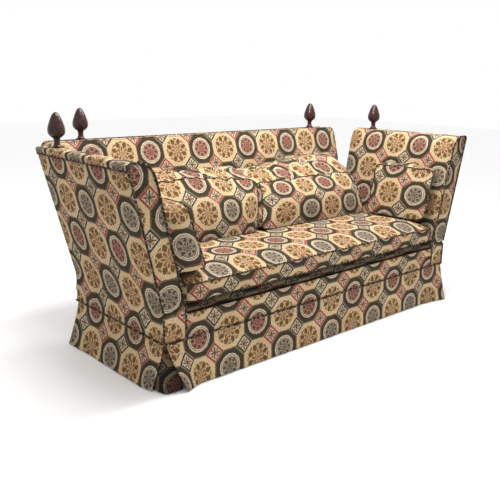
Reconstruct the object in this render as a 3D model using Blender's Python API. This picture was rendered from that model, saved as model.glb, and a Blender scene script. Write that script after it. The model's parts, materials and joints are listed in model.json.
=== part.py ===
"""Knole sofa: a high-backed settee whose two raked arms let down on hinges, with loose cushions.

Metres, +Z up, +X to the viewer's right, -Y to the front. The origin is on the floor under the middle of
the whole sofa. Run it with blender --background --python part.py, or from the text editor.
"""

import math

import bmesh
import bpy
from mathutils import Vector

# Clearances
GAP = 0.0003
CUT_OVERRUN = 0.01

# Seat box, the fixed part under the arms
BASE_SPAN = 1.900
BASE_DEPTH = 0.700
RAIL_BOTTOM = 0.100
RAIL_THICKNESS = 0.032
DECK_RAIL_TOP = 0.300
SEAM_HEIGHT = 0.213
HINGE_HEIGHT = 0.338
BORDER_THICKNESS = 0.012
PAD_ROUNDING = 0.006
WOOD_ROUNDING = 0.002
CENTRE_RAIL_WIDTH = 0.050
LEG_WIDTH = 0.062
FOOT_WIDTH = 0.046
LINING_THICKNESS = 0.0015

# Seat platform
WEB_COUNT = 11
CROSS_WEB_COUNT = 4
WEB_WIDTH = 0.050
WEB_THICKNESS = 0.002
SEAT_SIDE_CLEARANCE = 0.001
DECK_HEIGHT = 0.054
EDGE_ROLL_DEPTH = 0.055
EDGE_ROLL_SETBACK = 0.006
EDGE_ROLL_BOTTOM = 0.3125

# Arms
ARM_FLARE = 0.144
ARM_TOP_HEIGHT = 0.921
ARM_THICKNESS = 0.103
ARM_REAR_LEAN = math.radians(2.7)
OUTER_PAD_THICKNESS = 0.012
ARM_FRAME_THICKNESS = 0.044
TOP_PAD_THICKNESS = 0.012
FACING_THICKNESS = 0.012
ARM_FRAME_MEMBER = 0.045
ARM_WINDOW_COLUMNS = 3
ARM_WINDOW_ROWS = 2
ARM_TOP_ROUNDING = 0.038
ARM_PAD_CROWN = 0.006
OUTER_PAD_CROWN = 0.003

# Arm hinges: one long hinge under each arm, its knuckles taken in turn by the base's leaf and the arm's
HINGE_INSET = 0.006
LEAF_THICKNESS = 0.0025
PIN_RADIUS = 0.0027
KNUCKLE_COUNT = 7
LEAF_WIDTH = 0.040
HINGE_END_DISTANCE = 0.080
CURL_TURN = math.radians(285.0)

# Back
BACK_OVERHANG = 0.010
BACK_HEIGHT = 0.920
BACK_RAKE = math.radians(15.0)
BACK_CLEARANCE = 0.008
BACK_PAD_THICKNESS = 0.033
BACK_FRAME_THICKNESS = 0.052
OUTER_BACK_THICKNESS = 0.010
BACK_CORNER_RADIUS = 0.034
BACK_PAD_CROWN = 0.012
END_PAD_THICKNESS = 0.009
BACK_POST_WIDTH = 0.060
BACK_RAIL_WIDTH = 0.060
LOWER_BACK_RAIL_HEIGHT = 0.400

# Finials
FINIAL_HEIGHT = 0.148
FINIAL_RADIUS = 0.036
SPIGOT_RADIUS = 0.009
SPIGOT_LENGTH = 0.042
ARM_FINIAL_INSET = 0.045
ARM_FINIAL_FROM_REAR = 0.112
BACK_FINIAL_FROM_END = 0.175
BACK_FINIAL_FROM_RAIL_FRONT = 0.016

# Skirt
HEM_CLEARANCE = 0.004
SKIRT_THICKNESS = 0.004
SIDE_FLARE = 0.040
FRONT_FLARE = 0.010
REAR_FLARE = 0.008
SIDE_CORNER_FLARE = 0.020
FRONT_CORNER_FLARE = 0.004
CORNER_FLARE_LENGTH = 0.160
SKIRT_WAVE = 0.004
SKIRT_WAVE_LENGTH = 0.230
SKIRT_FALL_POWER = 1.3
SKIRT_ROWS = 3
SKIRT_STEP = 0.042
SKIRT_END_GAP = 0.010
PLEAT_LEG = 0.070
CORNER_PLEAT_SHARE = 0.8

# Piping
PIPING_RADIUS = 0.004

# Loose cushions
SEAT_CUSHION_REAR_ROOM = 0.010
SEAT_BOXING_HEIGHT = 0.072
SEAT_CROWN = 0.035
SEAT_CROWN_WIDTH = 0.070
BACK_CUSHION_SIDE_ROOM = 0.099
BACK_CUSHION_HEIGHT = 0.300
BACK_CUSHION_EDGE = 0.150
BACK_CUSHION_CROWN = 0.060
BACK_CUSHION_REAR_CROWN = 0.018
BACK_CUSHION_LEAN = math.radians(38.0)
ARM_CUSHION_WIDTH = 0.370
ARM_CUSHION_HEIGHT = 0.290
ARM_CUSHION_EDGE = 0.080
ARM_CUSHION_CROWN = 0.018
ARM_CUSHION_FROM_FRONT = 0.030
CUSHION_CORNER_RADIUS = 0.045
CUSHION_CLEARANCE = 0.0006

# Shares chosen by hand. The back narrows below the arms: (share of its height, share of its half span).
BACK_WIDTH_SHARES = ((0.0, 0.905), (0.2, 0.93), (0.45, 0.97), (0.68, 1.0), (1.0, 1.0))
# The turned finial: (share of its height, share of its radius), from the foot to the tip.
FINIAL_SHARES = (
    (0.0, 0.77),
    (0.02, 0.76),
    (0.045, 0.60),
    (0.08, 0.43),
    (0.14, 0.36),
    (0.235, 0.365),
    (0.275, 0.46),
    (0.32, 0.70),
    (0.38, 0.91),
    (0.45, 0.99),
    (0.525, 1.0),
    (0.62, 0.94),
    (0.72, 0.79),
    (0.82, 0.61),
    (0.91, 0.42),
    (0.97, 0.24),
)
ROUND_SIDES = 16
FINIAL_SIDES = 20
CORD_SIDES = 8
ARC_STEPS = 6
# Where a crowned pad has its cross lines, as shares of its width and of its height.
PAD_STOP_SHARES = (0.0, 0.03, 0.08, 0.16, 0.3, 0.5, 0.7, 0.84, 0.92, 0.97, 1.0)
PAD_LEVEL_SHARES = (0.0, 0.04, 0.1, 0.2, 0.35, 0.55, 0.75, 0.9)
CUSHION_CROWN_REACH_SHARE = 0.9

# Derived places
HALF_BASE = BASE_SPAN / 2
ARM_TOP_SPAN = BASE_SPAN + 2 * ARM_FLARE
BACK_SPAN = BASE_SPAN + 2 * BACK_OVERHANG
BACK_FINIAL_OFFSET = BACK_SPAN / 2 - BACK_FINIAL_FROM_END
OVERALL_BACK_THICKNESS = BACK_PAD_THICKNESS + BACK_FRAME_THICKNESS + OUTER_BACK_THICKNESS
BACK_RISE = BACK_HEIGHT - HINGE_HEIGHT
PIPING_SEAT = (PIPING_RADIUS + GAP) / math.sqrt(2)
BACK_LEAN_REACH = BACK_RISE * math.tan(BACK_RAKE) + OVERALL_BACK_THICKNESS + PIPING_SEAT + PIPING_RADIUS
BACK_TOP_REACH = BASE_DEPTH + BACK_CLEARANCE + BACK_LEAN_REACH
FRONT_REACH = FRONT_FLARE + FRONT_CORNER_FLARE
FRONT_Y = (FRONT_REACH - BACK_TOP_REACH) / 2
BASE_REAR_Y = FRONT_Y + BASE_DEPTH
ARM_SLOPE = ARM_FLARE / (ARM_TOP_HEIGHT - HINGE_HEIGHT)
KNUCKLE_RADIUS = PIN_RADIUS + GAP + LEAF_THICKNESS
BASE_TOP = HINGE_HEIGHT - KNUCKLE_RADIUS - GAP
ARM_BOTTOM = HINGE_HEIGHT + KNUCKLE_RADIUS + GAP
HINGE_X = HALF_BASE - HINGE_INSET
RAIL_FRONT_Y = FRONT_Y + BORDER_THICKNESS + GAP
SIDE_RAIL_OUTER = HALF_BASE - BORDER_THICKNESS - GAP
SIDE_RAIL_INNER = HALF_BASE - ARM_THICKNESS + BORDER_THICKNESS
INNER_PAD_OUTSET = OUTER_PAD_THICKNESS + ARM_FRAME_THICKNESS + 2 * GAP
DECK_BOTTOM = DECK_RAIL_TOP + WEB_THICKNESS + 2 * GAP
DECK_TOP = DECK_BOTTOM + DECK_HEIGHT
SEAT_CUSHION_BOTTOM = DECK_TOP + GAP
SEAT_TOP = SEAT_CUSHION_BOTTOM + SEAT_BOXING_HEIGHT + SEAT_CROWN
SEAT_CUSHION_DEPTH = BASE_DEPTH - SEAT_CUSHION_REAR_ROOM
# The seat cushion comes out between the piping of the two arms
ARM_FOOT_X = HALF_BASE - ARM_THICKNESS + (SEAT_CUSHION_BOTTOM - HINGE_HEIGHT) * ARM_SLOPE
SEAT_CUSHION_HALF_SPAN = ARM_FOOT_X - PIPING_SEAT - PIPING_RADIUS - CUSHION_CLEARANCE
BACK_CUSHION_WIDTH = SEAT_CUSHION_HALF_SPAN - BACK_CUSHION_SIDE_ROOM
DECK_HALF_SPAN = HALF_BASE - ARM_THICKNESS - SEAT_SIDE_CLEARANCE
CRANK_HEIGHT = HINGE_HEIGHT - 2 * BORDER_THICKNESS
LEG_OUTER_X = SIDE_RAIL_INNER - GAP
LEG_INNER_X = LEG_OUTER_X - LEG_WIDTH
LEG_FRONT_Y = RAIL_FRONT_Y + RAIL_THICKNESS + GAP
LEG_REAR_Y = BASE_REAR_Y - RAIL_THICKNESS - GAP


def clear_scene():
    for obj in list(bpy.data.objects):
        bpy.data.objects.remove(obj, do_unlink=True)


def make_material(name, colour, roughness, metallic=0.0):
    """A plain Principled material in the piece's own colour."""
    material = bpy.data.materials.new(name)
    material.use_nodes = True
    shader = material.node_tree.nodes["Principled BSDF"]
    shader.inputs["Base Color"].default_value = (*colour, 1.0)
    shader.inputs["Roughness"].default_value = roughness
    shader.inputs["Metallic"].default_value = metallic
    material.diffuse_color = (*colour, 1.0)
    return material


def add_object(name, mesh, material):
    obj = bpy.data.objects.new(name, mesh)
    bpy.context.scene.collection.objects.link(obj)
    mesh.materials.append(material)
    return obj


def mesh_from_bmesh(name, bm, smooth_angle=None):
    bmesh.ops.recalc_face_normals(bm, faces=bm.faces)
    mesh = bpy.data.meshes.new(name)
    bm.to_mesh(mesh)
    bm.free()
    if smooth_angle is not None:
        mesh.shade_smooth()
        mesh.set_sharp_from_angle(angle=smooth_angle)
    return mesh


def stack_rings(bm, rings, closed=False):
    """Joins rings of equal length one after another, and closes both ends or runs round to the first."""
    loops = [[bm.verts.new(point) for point in ring] for ring in rings]
    pairs = list(zip(loops, loops[1:]))
    if closed:
        pairs.append((loops[-1], loops[0]))
    for low, high in pairs:
        for i in range(len(low)):
            j = (i + 1) % len(low)
            bm.faces.new((low[i], low[j], high[j], high[i]))
    if not closed:
        bm.faces.new(list(reversed(loops[0])))
        bm.faces.new(loops[-1])


def bevel_edges(obj, width, segments=1):
    modifier = obj.modifiers.new("Rounding", "BEVEL")
    modifier.width = width
    modifier.segments = segments
    modifier.limit_method = "ANGLE"


def stack(name, ring_lists, material, rounding=0.0, segments=1, smooth_angle=None):
    """One object of one or more stacked solids."""
    bm = bmesh.new()
    for rings in ring_lists:
        stack_rings(bm, rings)
    obj = add_object(name, mesh_from_bmesh(name, bm, smooth_angle), material)
    if rounding:
        bevel_edges(obj, rounding, segments)
    return obj


def rectangle(x0, x1, y0, y1, z):
    return [(x0, y0, z), (x1, y0, z), (x1, y1, z), (x0, y1, z)]


def box_rings(x0, x1, y0, y1, z0, z1):
    return [rectangle(x0, x1, y0, y1, z0), rectangle(x0, x1, y0, y1, z1)]


def box(name, x0, x1, y0, y1, z0, z1, material, rounding=0.0, segments=1):
    return stack(name, [box_rings(x0, x1, y0, y1, z0, z1)], material, rounding, segments)


def mirrored(side, ring):
    """The ring as drawn for the right side, or its mirror image for the left."""
    if side > 0:
        return ring
    return [(-x, y, z) for x, y, z in reversed(ring)]


def circle(x, y, z, radius, sides):
    turn = 2 * math.pi / sides
    return [(x + radius * math.cos(turn * i), y + radius * math.sin(turn * i), z) for i in range(sides)]


def add_tool(name, ring_lists):
    """A hidden solid that cuts another piece or is joined to it."""
    bm = bmesh.new()
    for rings in ring_lists:
        stack_rings(bm, rings)
    tool = bpy.data.objects.new(name, mesh_from_bmesh(name, bm))
    bpy.context.scene.collection.objects.link(tool)
    tool.hide_render = True
    tool.display_type = "WIRE"
    return tool


def combine(obj, tool, operation):
    modifier = obj.modifiers.new(tool.name, "BOOLEAN")
    modifier.operation = operation
    modifier.object = tool


def cut(obj, tool):
    combine(obj, tool, "DIFFERENCE")


def join(obj, tool):
    combine(obj, tool, "UNION")


def tube_rings(points, closed=False):
    """Slices of a round cord along a line of points, each on the plane that halves the turn there."""
    places = [Vector(point) for point in points]
    count = len(places)
    ways = [(places[(i + 1) % count] - places[i]).normalized() for i in range(count)]
    start = ways[0]
    across = start.orthogonal().normalized()
    other = start.cross(across)
    ring = []
    for i in range(CORD_SIDES):
        turn = 2 * math.pi * i / CORD_SIDES
        ring.append(places[0] + PIPING_RADIUS * (across * math.cos(turn) + other * math.sin(turn)))
    if closed:
        ring = [slide(point, places[0], start, ways[-1] + start) for point in ring]
    rings = [ring]
    for i in range(1, count):
        way = ways[i - 1]
        plane = way if i == count - 1 and not closed else way + ways[i]
        ring = [slide(point, places[i], way, plane) for point in ring]
        rings.append(ring)
    return rings


def slide(point, place, way, plane):
    """Moves a point along a way until it lies on the plane through a place."""
    return point + way * ((place - point).dot(plane) / way.dot(plane))


def corner_arc(radius, low_turn, high_turn, steps=ARC_STEPS):
    """Offsets along part of a circle, both ends included."""
    turns = [low_turn + (high_turn - low_turn) * i / steps for i in range(steps + 1)]
    return [(radius * math.cos(turn), radius * math.sin(turn)) for turn in turns]


def outer_x(z):
    """Outer face of the arm at a height; upright below the hinge."""
    return HALF_BASE + max(0.0, z - HINGE_HEIGHT) * ARM_SLOPE


def arm_rear(z):
    return BASE_REAR_Y + (z - HINGE_HEIGHT) * math.tan(ARM_REAR_LEAN)


def back_front(z):
    """Front face of the back at a height; upright below the hinge."""
    return BASE_REAR_Y + BACK_CLEARANCE + max(0.0, z - HINGE_HEIGHT) * math.tan(BACK_RAKE)


def back_half(z):
    """Half width of the back at a height, rounded at its top corners."""
    share = max(0.0, (z - HINGE_HEIGHT) / BACK_RISE)
    half = BACK_SPAN / 2
    for (low, low_width), (high, high_width) in zip(BACK_WIDTH_SHARES, BACK_WIDTH_SHARES[1:]):
        if share <= high:
            along = (share - low) / (high - low)
            half = BACK_SPAN / 2 * (low_width + (high_width - low_width) * along)
            break
    above = z - (BACK_HEIGHT - BACK_CORNER_RADIUS)
    if above > 0:
        above = min(above, BACK_CORNER_RADIUS)
        half -= BACK_CORNER_RADIUS - math.sqrt(BACK_CORNER_RADIUS**2 - above**2)
    return half


def back_levels(low, high, extra_shares=()):
    """Heights at which the back's outline changes, between two heights."""
    shares = [share for share, _ in BACK_WIDTH_SHARES[:-1]] + list(extra_shares)
    levels = [HINGE_HEIGHT + share * BACK_RISE for share in shares]
    levels = [z for z in levels if z < BACK_HEIGHT - BACK_CORNER_RADIUS - PAD_ROUNDING]
    turn_step = math.pi / 2 / ARC_STEPS
    for i in range(ARC_STEPS):
        levels.append(BACK_HEIGHT - BACK_CORNER_RADIUS * (1 - math.sin(turn_step * i)))
    inside = sorted({z for z in levels if low + GAP < z < high - GAP})
    return [low] + inside + [high]


def crown_share(t):
    """How much of a pad's crown shows at t, from 0 at one edge to 1 at the other."""
    return 1 - (2 * t - 1) ** 4


# Seat box


def build_seat_box(wood):
    rear = BASE_REAR_Y
    box(
        "front_rail",
        -SIDE_RAIL_INNER + GAP,
        SIDE_RAIL_INNER - GAP,
        RAIL_FRONT_Y,
        RAIL_FRONT_Y + RAIL_THICKNESS,
        RAIL_BOTTOM,
        DECK_RAIL_TOP,
        wood,
        WOOD_ROUNDING,
    )
    box(
        "rear_rail",
        -SIDE_RAIL_INNER + GAP,
        SIDE_RAIL_INNER - GAP,
        rear - RAIL_THICKNESS,
        rear,
        RAIL_BOTTOM,
        DECK_RAIL_TOP,
        wood,
        WOOD_ROUNDING,
    )
    for side, word in ((-1, "left"), (1, "right")):
        x0, x1 = sorted((side * SIDE_RAIL_INNER, side * SIDE_RAIL_OUTER))
        box(
            word + "_side_rail",
            x0,
            x1,
            RAIL_FRONT_Y,
            rear - BORDER_THICKNESS - GAP,
            RAIL_BOTTOM,
            BASE_TOP,
            wood,
            WOOD_ROUNDING,
        )
    half = CENTRE_RAIL_WIDTH / 2
    box(
        "centre_rail",
        -half,
        half,
        RAIL_FRONT_Y + RAIL_THICKNESS + GAP,
        rear - RAIL_THICKNESS - GAP,
        RAIL_BOTTOM,
        RAIL_BOTTOM + (DECK_RAIL_TOP - RAIL_BOTTOM) / 2,
        wood,
        WOOD_ROUNDING,
    )


def build_legs(wood):
    """Four square legs, screwed into the corners of the seat box and tapered below it."""
    top = DECK_RAIL_TOP - BORDER_THICKNESS
    for side, across in ((-1, "left"), (1, "right")):
        for y, away, along in ((LEG_FRONT_Y, 1, "front"), (LEG_REAR_Y, -1, "rear")):
            centre_x = side * (LEG_OUTER_X - LEG_WIDTH / 2)
            centre_y = y + away * LEG_WIDTH / 2
            rings = []
            for width, z in ((FOOT_WIDTH, 0.0), (LEG_WIDTH, RAIL_BOTTOM), (LEG_WIDTH, top)):
                half = width / 2
                rings.append(
                    rectangle(centre_x - half, centre_x + half, centre_y - half, centre_y + half, z)
                )
            stack("_".join(("leg", along, across)), [rings], wood, WOOD_ROUNDING)


def build_webbing(webbing):
    """Straps woven both ways over the seat box, as one net."""
    front = RAIL_FRONT_Y + BORDER_THICKNESS
    rear = BASE_REAR_Y - BORDER_THICKNESS
    side = SIDE_RAIL_INNER - GAP
    reach = side - WEB_WIDTH
    half = WEB_WIDTH / 2
    lines_x = [-side]
    for i in range(WEB_COUNT):
        x = -reach + 2 * reach * i / (WEB_COUNT - 1)
        lines_x += [x - half, x + half]
    lines_x.append(side)
    lines_y = [front]
    for i in range(CROSS_WEB_COUNT):
        y = front + (rear - front) * (i + 1) / (CROSS_WEB_COUNT + 1)
        lines_y += [y - half, y + half]
    lines_y.append(rear)
    bm = bmesh.new()
    z = DECK_RAIL_TOP + GAP
    grid = [[bm.verts.new((x, y, z)) for y in lines_y] for x in lines_x]
    for i in range(len(lines_x) - 1):
        for j in range(len(lines_y) - 1):
            # Odd steps lie on a strap, even steps between two
            if i % 2 or j % 2:
                bm.faces.new((grid[i][j], grid[i + 1][j], grid[i + 1][j + 1], grid[i][j + 1]))
    loose = [vert for vert in bm.verts if not vert.link_faces]
    bmesh.ops.delete(bm, geom=loose, context="VERTS")
    obj = add_object("seat_webbing", mesh_from_bmesh("seat_webbing", bm), webbing)
    modifier = obj.modifiers.new("Thickness", "SOLIDIFY")
    modifier.thickness = WEB_THICKNESS
    modifier.offset = 1.0


def build_platform(lining, cloth):
    """The sprung and padded deck over the webbing, the roll along its front edge, and the bottom cloth."""
    roll_front = FRONT_Y + EDGE_ROLL_SETBACK
    deck_front = roll_front + EDGE_ROLL_DEPTH + GAP
    box(
        "seat_deck",
        -DECK_HALF_SPAN,
        DECK_HALF_SPAN,
        deck_front,
        BASE_REAR_Y,
        DECK_BOTTOM,
        DECK_TOP,
        cloth,
        PAD_ROUNDING,
        2,
    )
    roll = []
    height = DECK_TOP - EDGE_ROLL_BOTTOM
    sides = 6
    for x in (-DECK_HALF_SPAN, DECK_HALF_SPAN):
        ring = [(x, roll_front + EDGE_ROLL_DEPTH, EDGE_ROLL_BOTTOM)]
        ring.append((x, roll_front + EDGE_ROLL_DEPTH, DECK_TOP))
        for i in range(sides + 1):
            turn = math.pi * i / sides
            bulge = height / 2 * math.sin(turn)
            y = roll_front + height / 2 - bulge
            ring.append((x, y, EDGE_ROLL_BOTTOM + height / 2 * (1 + math.cos(turn))))
        roll.append(ring)
    stack("edge_roll", [roll], cloth, smooth_angle=math.radians(50))
    top = RAIL_BOTTOM - GAP
    x0 = LEG_INNER_X - GAP
    x1 = SIDE_RAIL_OUTER - BORDER_THICKNESS
    y0 = RAIL_FRONT_Y + BORDER_THICKNESS
    y1 = LEG_FRONT_Y + LEG_WIDTH + GAP
    y2 = LEG_REAR_Y - LEG_WIDTH - GAP
    y3 = BASE_REAR_Y - BORDER_THICKNESS
    rings = []
    for z in (top - LINING_THICKNESS, top):
        half = [(x0, y0), (x0, y1), (x1, y1), (x1, y2), (x0, y2), (x0, y3)]
        ring = half + [(-x, y) for x, y in reversed(half)]
        rings.append([(x, y, z) for x, y in ring])
    stack("bottom_lining", [rings], lining)


def build_borders(cloth):
    """The fixed upholstery: the strip under the seat cushion, and one wrap round each side rail."""
    inner = HALF_BASE - ARM_THICKNESS
    box(
        "front_border",
        -inner + GAP,
        inner - GAP,
        FRONT_Y,
        FRONT_Y + BORDER_THICKNESS,
        SEAM_HEIGHT,
        EDGE_ROLL_BOTTOM - GAP,
        cloth,
    )
    rear_inner = back_half(HINGE_HEIGHT) + GAP
    thick = BORDER_THICKNESS
    for side, word in ((-1, "left"), (1, "right")):
        rings = []
        for z in (SEAM_HEIGHT, BASE_TOP):
            ring = [
                (inner, FRONT_Y, z),
                (HALF_BASE, FRONT_Y, z),
                (HALF_BASE, BASE_REAR_Y, z),
                (rear_inner, BASE_REAR_Y, z),
                (rear_inner, BASE_REAR_Y - thick, z),
                (HALF_BASE - thick, BASE_REAR_Y - thick, z),
                (HALF_BASE - thick, FRONT_Y + thick, z),
                (inner, FRONT_Y + thick, z),
            ]
            rings.append(mirrored(side, ring))
        stack(word + "_side_border", [rings], cloth)


# Arms


def arm_ring(side, z, outer_inset, inner_inset, front, rear_inset):
    """A level slice of the arm between two faces, each given by its inset from the outer face."""
    x0 = outer_x(z) - inner_inset
    x1 = outer_x(z) - outer_inset
    y1 = arm_rear(z) - rear_inset
    return mirrored(side, [(x0, front, z), (x1, front, z), (x1, y1, z), (x0, y1, z)])


def arm_windows(side, low, high, front):
    """The openings of the arm frame, between its rails and stiles."""
    windows = []
    length = arm_rear(low) - front
    width = (length - ARM_FRAME_MEMBER * (ARM_WINDOW_COLUMNS + 1)) / ARM_WINDOW_COLUMNS
    height = (high - low - ARM_FRAME_MEMBER * (ARM_WINDOW_ROWS + 1)) / ARM_WINDOW_ROWS
    outer = OUTER_PAD_THICKNESS - CUT_OVERRUN
    inner = OUTER_PAD_THICKNESS + ARM_FRAME_THICKNESS + CUT_OVERRUN
    for column in range(ARM_WINDOW_COLUMNS):
        y0 = front + ARM_FRAME_MEMBER + column * (width + ARM_FRAME_MEMBER)
        for row in range(ARM_WINDOW_ROWS):
            z0 = low + ARM_FRAME_MEMBER + row * (height + ARM_FRAME_MEMBER)
            rings = []
            for z in (z0, z0 + height):
                x0 = outer_x(z) - inner
                x1 = outer_x(z) - outer
                rings.append(
                    mirrored(side, [(x0, y0, z), (x1, y0, z), (x1, y0 + width, z), (x0, y0 + width, z)])
                )
            windows.append(rings)
    return windows


def arm_finial_place(side):
    x = side * (ARM_TOP_SPAN / 2 - ARM_FINIAL_INSET)
    return x, arm_rear(ARM_TOP_HEIGHT) - ARM_FINIAL_FROM_REAR


def spigot_hole(name, x, y, top):
    """Tool for the hole that takes a finial's spigot."""
    radius = SPIGOT_RADIUS + GAP
    rings = [
        circle(x, y, top - SPIGOT_LENGTH - 2 * GAP, radius, ROUND_SIDES),
        circle(x, y, top + CUT_OVERRUN, radius, ROUND_SIDES),
    ]
    return add_tool(name, [rings])


def arm_levels():
    """Heights of an arm pad's cross lines, closer together round its top edge."""
    straight = ARM_TOP_HEIGHT - ARM_TOP_ROUNDING
    levels = [ARM_BOTTOM + (straight - ARM_BOTTOM) * share for share in PAD_LEVEL_SHARES]
    return levels + [straight + rise for _, rise in corner_arc(ARM_TOP_ROUNDING, 0.0, math.pi / 2)]


def inner_face(z):
    """Inset of the arm's inner face from its outer one, rounded at the top."""
    above = max(0.0, z - (ARM_TOP_HEIGHT - ARM_TOP_ROUNDING))
    drawn_in = ARM_TOP_ROUNDING - math.sqrt(max(0.0, ARM_TOP_ROUNDING**2 - above**2))
    return ARM_THICKNESS - drawn_in


def arm_pad_rings(side, crown, inner):
    """Level slices of the arm's padded inner panel, or of its thinner outer one."""
    front = FRONT_Y + FACING_THICKNESS + GAP
    rings = []
    for z in arm_levels():
        share = crown_share((z - ARM_BOTTOM) / (ARM_TOP_HEIGHT - ARM_BOTTOM))
        rear = arm_rear(z)
        flat_x = outer_x(z) - (INNER_PAD_OUTSET if inner else OUTER_PAD_THICKNESS)
        padded = []
        for stop in PAD_STOP_SHARES:
            bulge = crown * crown_share(stop) * share
            x = outer_x(z) - inner_face(z) - bulge if inner else outer_x(z) + bulge
            padded.append((x, front + (rear - front) * stop, z))
        rings.append(mirrored(side, [(flat_x, front, z)] + padded + [(flat_x, rear, z)]))
    return rings


def facing_outline():
    """Front outline of an arm above its hinge, as (x, z), rounded at the inner top corner."""
    low = ARM_BOTTOM
    top = ARM_TOP_HEIGHT
    radius = ARM_TOP_ROUNDING
    outline = [(outer_x(top), top), (outer_x(low), low), (outer_x(low) - ARM_THICKNESS, low)]
    for dx, dz in corner_arc(radius, math.pi, math.pi / 2):
        z = top - radius + dz
        outline.append((outer_x(z) - ARM_THICKNESS + radius + dx, z))
    return outline


def build_arm(side, word, wood, cloth):
    """One arm: a beech frame with a padded panel on each face, a top strip and a front facing."""
    front = FRONT_Y + FACING_THICKNESS + GAP
    frame_top = ARM_TOP_HEIGHT - TOP_PAD_THICKNESS - GAP
    frame_outer = OUTER_PAD_THICKNESS + GAP
    frame_inner = frame_outer + ARM_FRAME_THICKNESS
    x, y = arm_finial_place(side)
    hole = spigot_hole(word + "_arm_finial_hole", x, y, ARM_TOP_HEIGHT)

    rings = [arm_ring(side, z, frame_outer, frame_inner, front, GAP) for z in (ARM_BOTTOM, frame_top)]
    frame = stack(word + "_arm_frame", [rings], wood)
    cut(frame, add_tool(word + "_arm_windows", arm_windows(side, ARM_BOTTOM, frame_top, front)))
    cut(frame, hole)

    outer = arm_pad_rings(side, OUTER_PAD_CROWN, False)
    stack(word + "_arm_outer_panel", [outer], cloth, smooth_angle=math.radians(40))
    inner = arm_pad_rings(side, ARM_PAD_CROWN, True)
    stack(word + "_arm_inner_pad", [inner], cloth, smooth_angle=math.radians(40))

    levels = (frame_top + GAP, ARM_TOP_HEIGHT)
    strip = [arm_ring(side, z, frame_outer, frame_inner, front, 0.0) for z in levels]
    top_strip = stack(word + "_arm_top_strip", [strip], cloth)
    cut(top_strip, hole)

    facing = []
    for y in (FRONT_Y + FACING_THICKNESS, FRONT_Y):
        facing.append(mirrored(side, [(x, y, z) for x, z in facing_outline()]))
    stack(word + "_arm_facing", [facing], cloth)


def leaf_ring(side, y, upward, bored):
    """Outline of a hinge leaf and its knuckle: rolled round the pin, or solid where it holds the pin.

    upward is 1 for the arm's leaf, whose flat lies above the axis, and -1 for the base's.
    """
    outer = KNUCKLE_RADIUS
    inner = PIN_RADIUS + GAP
    flat = outer - LEAF_THICKNESS
    meeting = 3 * math.pi / 2 + math.asin(flat / outer)
    sweep = CURL_TURN if bored else meeting
    steps = 2 * ARC_STEPS
    profile = [(-LEAF_WIDTH, outer)]
    profile += corner_arc(outer, math.pi / 2, math.pi / 2 - sweep, steps)
    if bored:
        profile += corner_arc(inner, math.pi / 2 - sweep, math.pi / 2, steps)
    profile.append((-LEAF_WIDTH, flat))
    return mirrored(side, [(HINGE_X + dx, y, HINGE_HEIGHT + upward * dz) for dx, dz in profile])


def knuckle_gaps(side, low, pitch, first, spare):
    """Boxes that clear every second knuckle, starting with the first one named."""
    x0 = HINGE_X - KNUCKLE_RADIUS - GAP
    x1 = HINGE_X + KNUCKLE_RADIUS + CUT_OVERRUN
    reach = KNUCKLE_RADIUS + CUT_OVERRUN
    boxes = []
    for i in range(first, KNUCKLE_COUNT, 2):
        y0 = low + pitch * i - spare
        y1 = low + pitch * (i + 1) + spare
        near = y0 if i > 0 else y0 - CUT_OVERRUN
        far = y1 if i < KNUCKLE_COUNT - 1 else y1 + CUT_OVERRUN
        rings = [rectangle(x0, x1, near, far, HINGE_HEIGHT + dz) for dz in (-reach, reach)]
        boxes.append([mirrored(side, ring) for ring in rings])
    return boxes


def build_hinge(side, word, steel):
    """The long hinge under an arm. The base's leaf holds the pin, and the arm's leaf turns on it."""
    low = FRONT_Y + HINGE_END_DISTANCE
    high = BASE_REAR_Y - HINGE_END_DISTANCE
    pitch = (high - low) / KNUCKLE_COUNT
    base = stack(word + "_hinge_base_leaf", [[leaf_ring(side, y, -1, False) for y in (low, high)]], steel)
    cut(base, add_tool(word + "_arm_knuckle_room", knuckle_gaps(side, low, pitch, 1, 0.0)))
    pin = []
    for y in (low - PIN_RADIUS, high + PIN_RADIUS):
        arc = corner_arc(PIN_RADIUS, 0.0, 2 * math.pi, ROUND_SIDES)[:-1]
        pin.append(mirrored(side, [(HINGE_X + dx, y, HINGE_HEIGHT + dz) for dx, dz in arc]))
    join(base, add_tool(word + "_hinge_pin", [pin]))
    arm = stack(word + "_hinge_arm_leaf", [[leaf_ring(side, y, 1, True) for y in (low, high)]], steel)
    cut(arm, add_tool(word + "_base_knuckle_room", knuckle_gaps(side, low, pitch, 0, GAP)))


# Back


def back_slice(z, front_inset, rear_inset):
    half = back_half(z)
    y0 = back_front(z) + front_inset
    y1 = back_front(z) + rear_inset
    return rectangle(-half, half, y0, y1, z)


def post_section(side, z, outer_edge, front):
    inner_edge = outer_edge - BACK_POST_WIDTH
    y1 = back_front(z) + BACK_PAD_THICKNESS + BACK_FRAME_THICKNESS
    ring = [(inner_edge, front, z), (outer_edge, front, z), (outer_edge, y1, z), (inner_edge, y1, z)]
    return mirrored(side, ring)


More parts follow.
